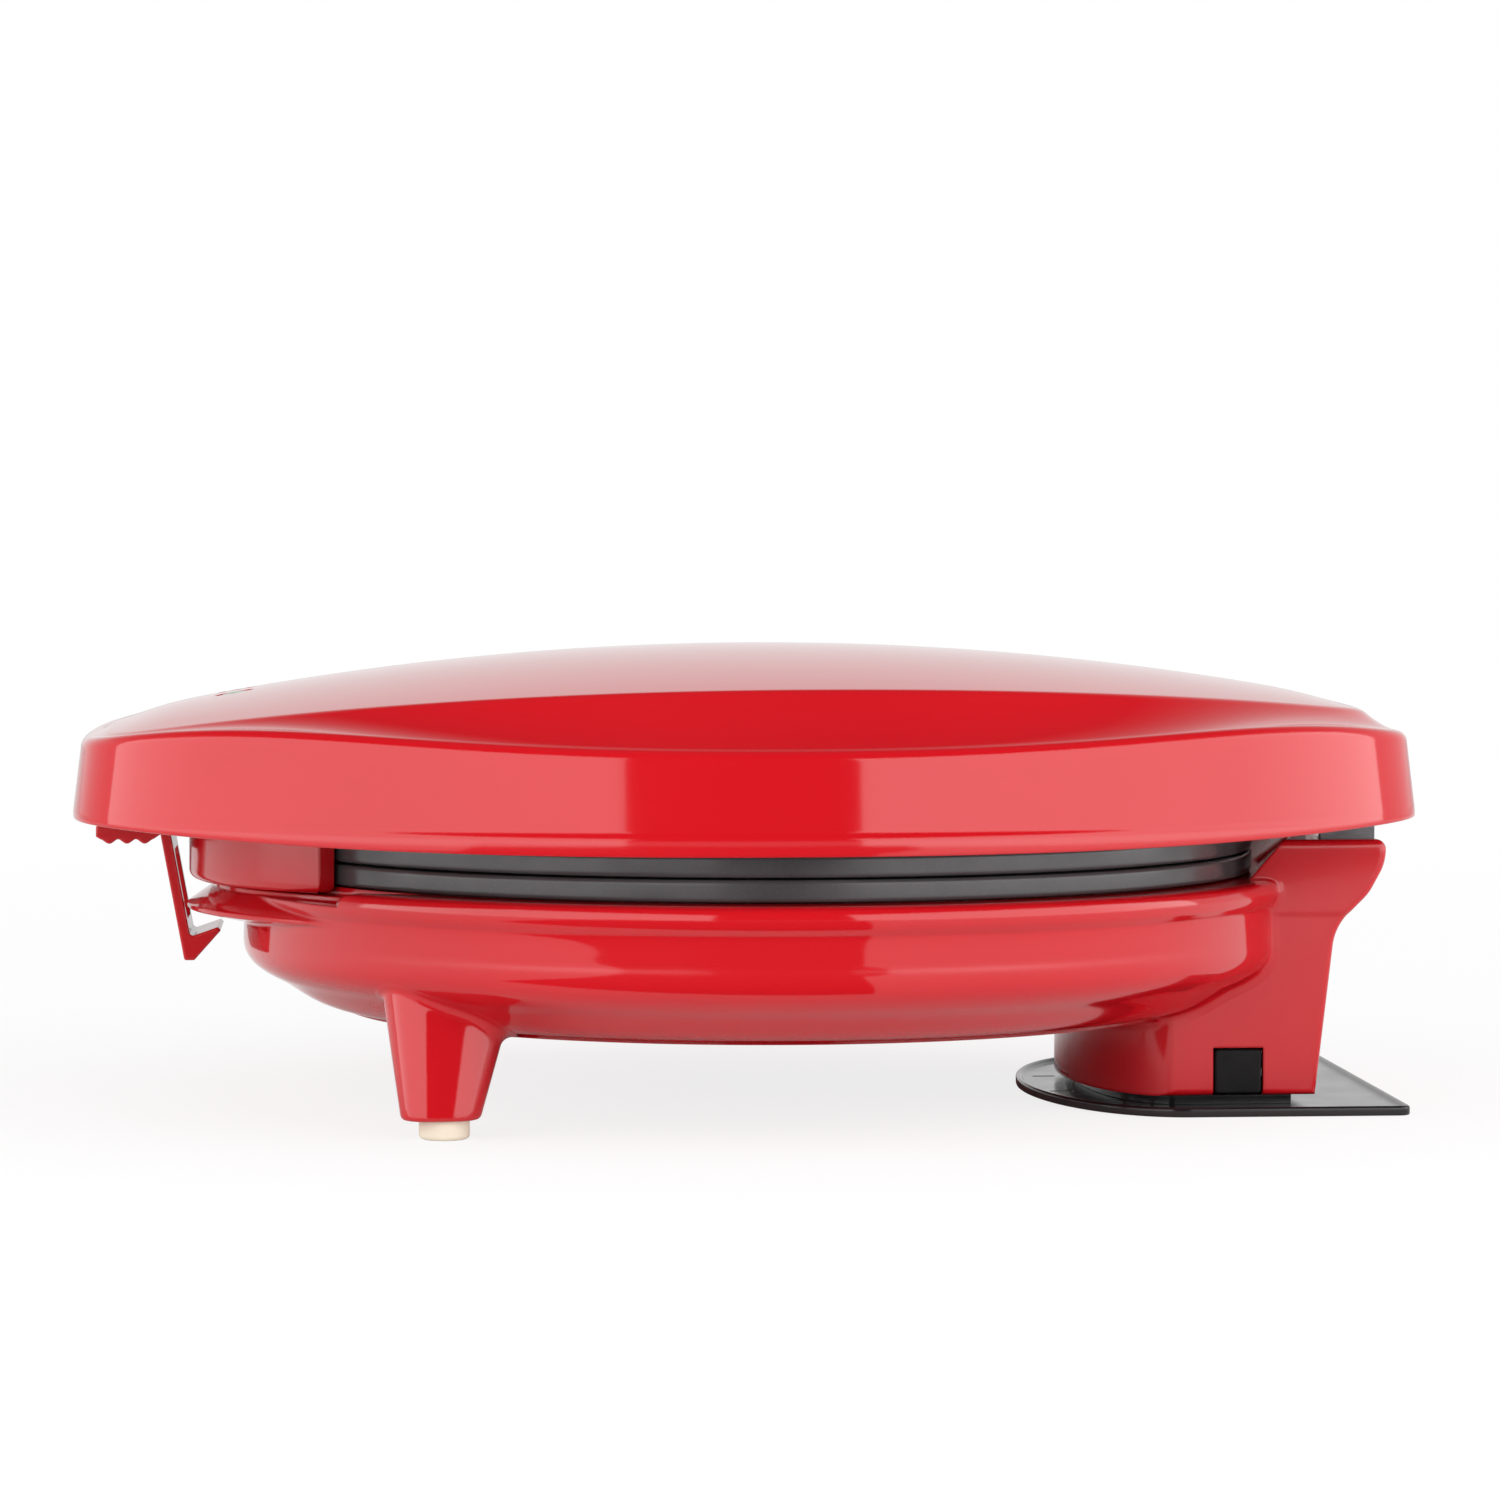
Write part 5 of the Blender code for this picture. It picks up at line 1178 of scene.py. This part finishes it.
def makeLatch():
    c = latch
    drop = c["armTop"] - c["footZ"]
    lean = (c["footX"] - (c["x"] - c["arm"] * 0.3)) / drop

    def armX(z, thickness):
        return c["footX"] - lean * (z - c["footZ"]) + thickness

    hub = arc((c["x"], c["z"]), c["hub"], -math.pi / 3, math.pi * 0.8, 30)
    length = c["x"] - c["hub"] - c["thumbX"]
    thumb = rounded([(c["x"] - c["hub"] * 0.9, c["thumbTop"] + 0.0016), (c["thumbX"], c["thumbTop"]),
                     (c["thumbX"], c["thumbLow"] + 0.0006)], [0, 0.0008, 0], False, 5)[1:]
    for i in range(61):
        share = i / 60
        wave = c["wave"] * (0.5 - 0.5 * math.cos(3 * tau * share)) ** 0.8
        thumb.append((c["thumbX"] + c["wave"] + length * share, c["thumbLow"] - wave))
    arm = rounded([
        (armX(c["armTop"], 0.0), c["armTop"]), (c["footX"], c["footZ"]), (c["footX"] + c["foot"], c["footZ"]),
        (c["tipX"], c["tipZ"]), (c["tipX"] - c["tipLip"], c["tipZ"] + c["tipLip"]),
        (armX(c["hookZ"], c["arm"]), c["hookZ"]), (armX(c["armTop"], c["arm"]), c["armTop"]),
    ], [0.0015, 0.0006, 0.0006, 0.0003, 0.0003, 0.0008, 0.0], False, 5)
    body = prism("latchClip", hub + thumb + arm, -c["half"], c["half"], c["edge"], along="Y", steps=4)
    pinRim = arc((c["x"], c["z"]), c["pin"] + c["pinGap"], 0, tau, 49)[:-1]
    pinHole = prism("pinHole", pinRim, -0.02, 0.02, along="Y")
    slotHalf = c["springHalf"]
    slot = box("springSlot", (c["x"] - c["hub"], -slotHalf, c["z"] - c["hub"] - 0.0003),
               (c["x"] + c["hub"] + overrun, slotHalf, c["z"] + c["hub"] + overrun))
    # The arm is open in its middle, so it looks thin from the side
    low, high, side = c["hookZ"] + c["frame"], c["armTop"] - c["frame"], c["half"] - c["leg"]
    opening = rounded(rectangle(-side, low, side, high), 0.0025, True, 6)
    window = loftLoops("armWindow", [[(x, y, z) for y, z in opening] for x in (c["x"] - 0.004, c["tipX"])])
    return carve(body, [pinHole, slot, window])


dress(makeLatch(), "latch", redSatin, "red_satin", "latch_clip", degrees=30)


# Foot plate, gland, pads

footPlate = {"frontX": 0.058, "rearX": 0.136, "half": 0.056, "sideX": 0.088, "thick": 0.0013,
             "corner": 0.0025, "bead": 0.0008, "hubInset": 0.0022, "slotX": 0.0630, "slotY": 0.0150,
             "slotLength": 0.0050, "slotWidth": 0.0014, "screwHole": (0.0019, 0.0035),
             "holeLevels": (0.008, 0.0024, -0.002), "screws": [(0.30, 0.0), (0.88, 0.5), (0.88, -0.5)]}


def footPlan(depth):
    c = footPlate
    half, front = c["half"] - depth, c["sideX"] - c["frontX"] - depth
    r = max(c["corner"] - depth, 0.0003)
    rear = c["rearX"] - depth
    return (bowFront(c["sideX"], front, half, 120) + arc((rear - r, -half + r), r, -math.pi / 2, 0, 10)
            + arc((rear - r, half - r), r, 0, math.pi / 2, 10))


def screwPlaces():
    length = tower["footRearX"] - tower["frontX"]
    return [(tower["frontX"] + length * u, tower["half"] * v) for u, v in footPlate["screws"]]


def makeFootPlate():
    c = footPlate
    t, b = c["thick"], c["bead"]
    section = [(0.0004, 0.0), (0.0001, 0.0001), (0.0, 0.0004), (0.0, t + b * 0.3), (0.0001, t + b * 0.7),
               (0.0004, t + b), (0.0008, t + b * 1.0), (0.0012, t + b * 0.8), (0.0015, t + b * 0.4),
               (0.0018, t + 0.0001), (0.0022, t)]
    loops = [[(x, y, z) for x, y in footPlan(depth)] for depth, z in section]
    plate = loftLoops("footPlate", loops)
    hubPlan = columnPlan(tower["wall"] + c["hubInset"], tower["footRearX"] - tower["wall"] - c["hubInset"])
    hub = prism("cordHub", hubPlan, t / 2, tower["bottom"] - 0.0003)
    carve(plate, [hub], "UNION")
    tools = []
    for side in (1, -1):
        y = side * c["slotY"]
        tools.append(box("cordSlot", (c["slotX"], y - c["slotWidth"] / 2, -overrun),
                         (c["slotX"] + c["slotLength"], y + c["slotWidth"] / 2, t + overrun)))
    for spot in screwPlaces():
        tools.append(screwHole("plateScrewHole", *c["screwHole"], c["holeLevels"], 48, spot))
    return carve(plate, tools)


dress(makeFootPlate(), "base", blackPlastic, "black_plastic", "cord_plate", degrees=35)


gland = {"frontX": 0.0946, "rearX": 0.1048, "low": 0.0040, "high": 0.0136, "outerY": -0.0466,
         "innerY": -0.0356, "corner": 0.0008, "edge": 0.0006}
glandRim = rounded(rectangle(gland["frontX"], gland["low"], gland["rearX"], gland["high"]),
                   gland["corner"], True, 5)
dress(prism("cordGland", glandRim, gland["outerY"], gland["innerY"], gland["edge"], along="Y"),
      "base", blackRubber, "black_plastic", "cord_gland")


footPad = {"x": -0.0730, "radius": 0.0053, "edge": 0.0010, "lap": 0.0002}


def makePad(side):
    c = footPad
    top = leg["bottom"] + c["lap"]
    profile = rounded([(0.0, top), (c["radius"], top), (c["radius"], 0.0), (0.0, 0.0)],
                      [0, 0.0005, c["edge"], 0], False, 6)
    return lathe("footPad", profile, 96, (c["x"], side * leg["y"]))


for side, label in ((1, "left"), (-1, "right")):
    pad = makePad(side)
    pad.name = label + "FootPad"
    dress(pad, "base", creamRubber, "cream_rubber", label + "_foot_pad")
print("foot plate and pads made")


# Screws whose heads show. The recess is given in shares of the head's radius and height

recess = {"wing": 0.62, "half": 0.13, "deep": 0.75}


def crossScrew(name, headRadius, headHeight, shank, length):
    # Head down, with a cross recess, as it is seen from below
    profile = rounded([(0.0, length), (shank, length), (shank, headHeight), (headRadius, headHeight),
                       (headRadius, 0.0), (0.0, 0.0)], [0, 0.0003, 0, 0.0001, 0.0006, 0], False, 4)
    body = lathe(name, profile, 48)
    wing, half, deep = (size * recess[key] for size, key in
                        ((headRadius, "wing"), (headRadius, "half"), (headHeight, "deep")))
    return carve(body, [box("recessA", (-wing, -half, -0.001), (wing, half, deep)),
                        box("recessB", (-half, -wing, -0.001), (half, wing, deep * 0.999))])


lidPlaces = [(x, side * y, lidFrame["bottom"] + 0.00015) for x, y in lidFrame["screws"] for side in (1, -1)]
lidScrew = crossScrew("lidScrewShape", 0.0030, 0.0014, 0.0013, 0.0110)
lidScrews = repeated("lidScrews", lidScrew, lidPlaces, zincSteel)
dress(lidScrews, "lid", zincSteel, "zinc_steel", *[f"lid_screw_{n}" for n in range(1, 7)])
basePlaces = [(x, y, 0.0003) for x, y in screwPlaces()]
baseScrew = crossScrew("baseScrewShape", 0.0032, 0.0018, 0.0016, 0.0140)
baseScrews = repeated("baseScrews", baseScrew, basePlaces, zincSteel)
dress(baseScrews, "base", zincSteel, "zinc_steel", "base_screw_1", "base_screw_2", "base_screw_3")
print("screws made")


# CAD pieces that stay: each one gets the finish of its slot

finishOfSlot = {"zinc_steel": zincSteel, "spring_steel": springSteel, "element_steel": elementSteel,
                "bare_aluminium": bareAluminium, "ceramic": ceramic, "black_plastic": blackPlastic,
                "lamp_glass": lampGlass, "red_satin": redSatin, "plate_coat": plateCoat}
for entry in frame["record"]["subparts"]:
    node = frame["nodes"][entry["node"]]
    if entry["material_slot"] in finishOfSlot and not node.hide_render:
        node.data.materials.clear()
        node.data.materials.append(finishOfSlot[entry["material_slot"]])
# The hinge bracket gets the darker steel instead, painted shade for the gap under the cover's rim
bracket = frame["nodes"]["lid_hinge_bracket"].data.materials
bracket.clear()
bracket.append(shadedBracketSteel)


# Studio: floor, backdrop, lamps, camera

studio = {"floorSize": 60.0, "floorWhite": 0.86, "floorGlow": 0.82, "fadeStart": 0.25, "fadeEnd": 0.9,
          "boxStrength": (2.15, 2.45), "boxSize": (1.72, 0.80), "skyStrength": 0.80,
          "backRange": (-0.35, 0.08, 0.02, 0.88), "heightRange": (0.40, 0.80, 1.0, 0.06),
          "flag": [(-0.135, -0.135), (0.030, -0.135), (0.16, -0.60), (0.33, -0.85), (0.46, -1.30),
                   (-0.80, -1.30)]}


def makeFloor():
    c = studio
    half = c["floorSize"] / 2
    corners = [(x, y, 0) for x, y in rectangle(-half, -half, half, half)]
    floor = addMesh("floor", corners, [(0, 1, 2, 3)])
    material = bpy.data.materials.new("paleFloor")
    material.use_nodes = True
    tree = material.node_tree
    tree.nodes.clear()
    # The shading fades out with distance, so the floor runs into the white backdrop
    place = addNode(tree, "ShaderNodeTexCoord")["Object"]
    away = addNode(tree, "ShaderNodeVectorMath", {0: place}, operation="LENGTH")["Value"]
    fade = mapRange(tree, away, c["fadeStart"], c["fadeEnd"], c["floorGlow"], 1.0)
    seen = addNode(tree, "ShaderNodeLightPath")["Is Camera Ray"]
    share = mathNode(tree, "MULTIPLY", seen, fade)
    paint = addNode(tree, "ShaderNodeBsdfDiffuse", {"Color": (*[c["floorWhite"]] * 3, 1)})[0]
    glow = addNode(tree, "ShaderNodeEmission", {"Strength": 1.0})[0]
    mix = addNode(tree, "ShaderNodeMixShader", {"Fac": share, 1: paint, 2: glow})[0]
    addNode(tree, "ShaderNodeOutputMaterial", {"Surface": mix})
    floor.data.materials.append(material)


def makeFlag():
    # A dark card between the soft boxes, seen only in the gloss
    corners = [(x, y, 0.0005) for x, y in studio["flag"]]
    card = addMesh("darkCard", corners, [tuple(range(len(corners)))])
    material = bpy.data.materials.new("darkCard")
    material.use_nodes = True
    shader = material.node_tree.nodes["Principled BSDF"]
    shader.inputs["Base Color"].default_value = (0.02, 0.02, 0.02, 1)
    shader.inputs["Roughness"].default_value = 0.9
    card.data.materials.append(material)
    card.visible_camera = card.visible_diffuse = card.visible_shadow = False


def makeSky():
    c = studio
    sky = bpy.data.worlds.new("studioSky")
    world.world = sky
    sky.use_nodes = True
    tree = sky.node_tree
    tree.nodes.clear()
    path = addNode(tree, "ShaderNodeLightPath")
    seen = path["Is Camera Ray"]
    split = addNode(tree, "ShaderNodeSeparateXYZ", {0: addNode(tree, "ShaderNodeTexCoord")["Generated"]})
    # In reflections the room behind the camera and the ceiling are dark, and the paper behind the
    # maker is white
    room = mathNode(tree, "MULTIPLY", mapRange(tree, split["Y"], *c["backRange"]),
                    mapRange(tree, split["Z"], *c["heightRange"]))
    gloss = mathNode(tree, "ADD", path["Is Glossy Ray"], path["Is Transmission Ray"])
    share = mathNode(tree, "ADD", seen, gloss, clamp=True)
    white = {"Color": (1, 1, 1, 1)}
    light = addNode(tree, "ShaderNodeBackground", {**white, "Strength": c["skyStrength"]})[0]
    strength = mathNode(tree, "MAXIMUM", room, seen)
    paper = addNode(tree, "ShaderNodeBackground", {**white, "Strength": strength})[0]
    mix = addNode(tree, "ShaderNodeMixShader", {"Fac": share, 1: light, 2: paper})[0]
    addNode(tree, "ShaderNodeOutputWorld", {"Surface": mix})


def addSoftBox(name, place, aim, radiance):
    width, height = studio["boxSize"]
    data = bpy.data.lights.new(name, "AREA")
    data.shape = "RECTANGLE"
    data.size, data.size_y = width, height
    data.energy = radiance * math.pi * width * height
    lamp = bpy.data.objects.new(name, data)
    world.collection.objects.link(lamp)
    lamp.location = place
    lamp.rotation_euler = (Vector(aim) - Vector(place)).to_track_quat("-Z", "Y").to_euler()
    lamp.visible_camera = False


makeFloor()
makeFlag()
makeSky()
addSoftBox("softBoxLeft", (-0.830, -0.535, 0.40), (-0.32, -0.15, 0.40), studio["boxStrength"][0])
addSoftBox("softBoxRight", (0.815, -0.535, 0.40), (0.30, -0.15, 0.40), studio["boxStrength"][1])

view = {"place": (-0.0824, -1.1085, 0.1275), "yaw": 4.4, "pitch": 2.6, "lens": 4960 / 1500 * 36}
camera = bpy.data.objects.new("camera", bpy.data.cameras.new("camera"))
world.collection.objects.link(camera)
yaw, pitch = math.radians(view["yaw"]), math.radians(view["pitch"])
look = Vector((math.sin(yaw) * math.cos(pitch), math.cos(yaw) * math.cos(pitch), -math.sin(pitch)))
camera.location = view["place"]
camera.rotation_euler = look.to_track_quat("-Z", "Y").to_euler()
camera.data.lens = view["lens"]
camera.data.sensor_width = 36
camera.data.clip_start, camera.data.clip_end = 0.05, 30
world.camera = camera
world.view_settings.view_transform = "Standard"
print("studio made")
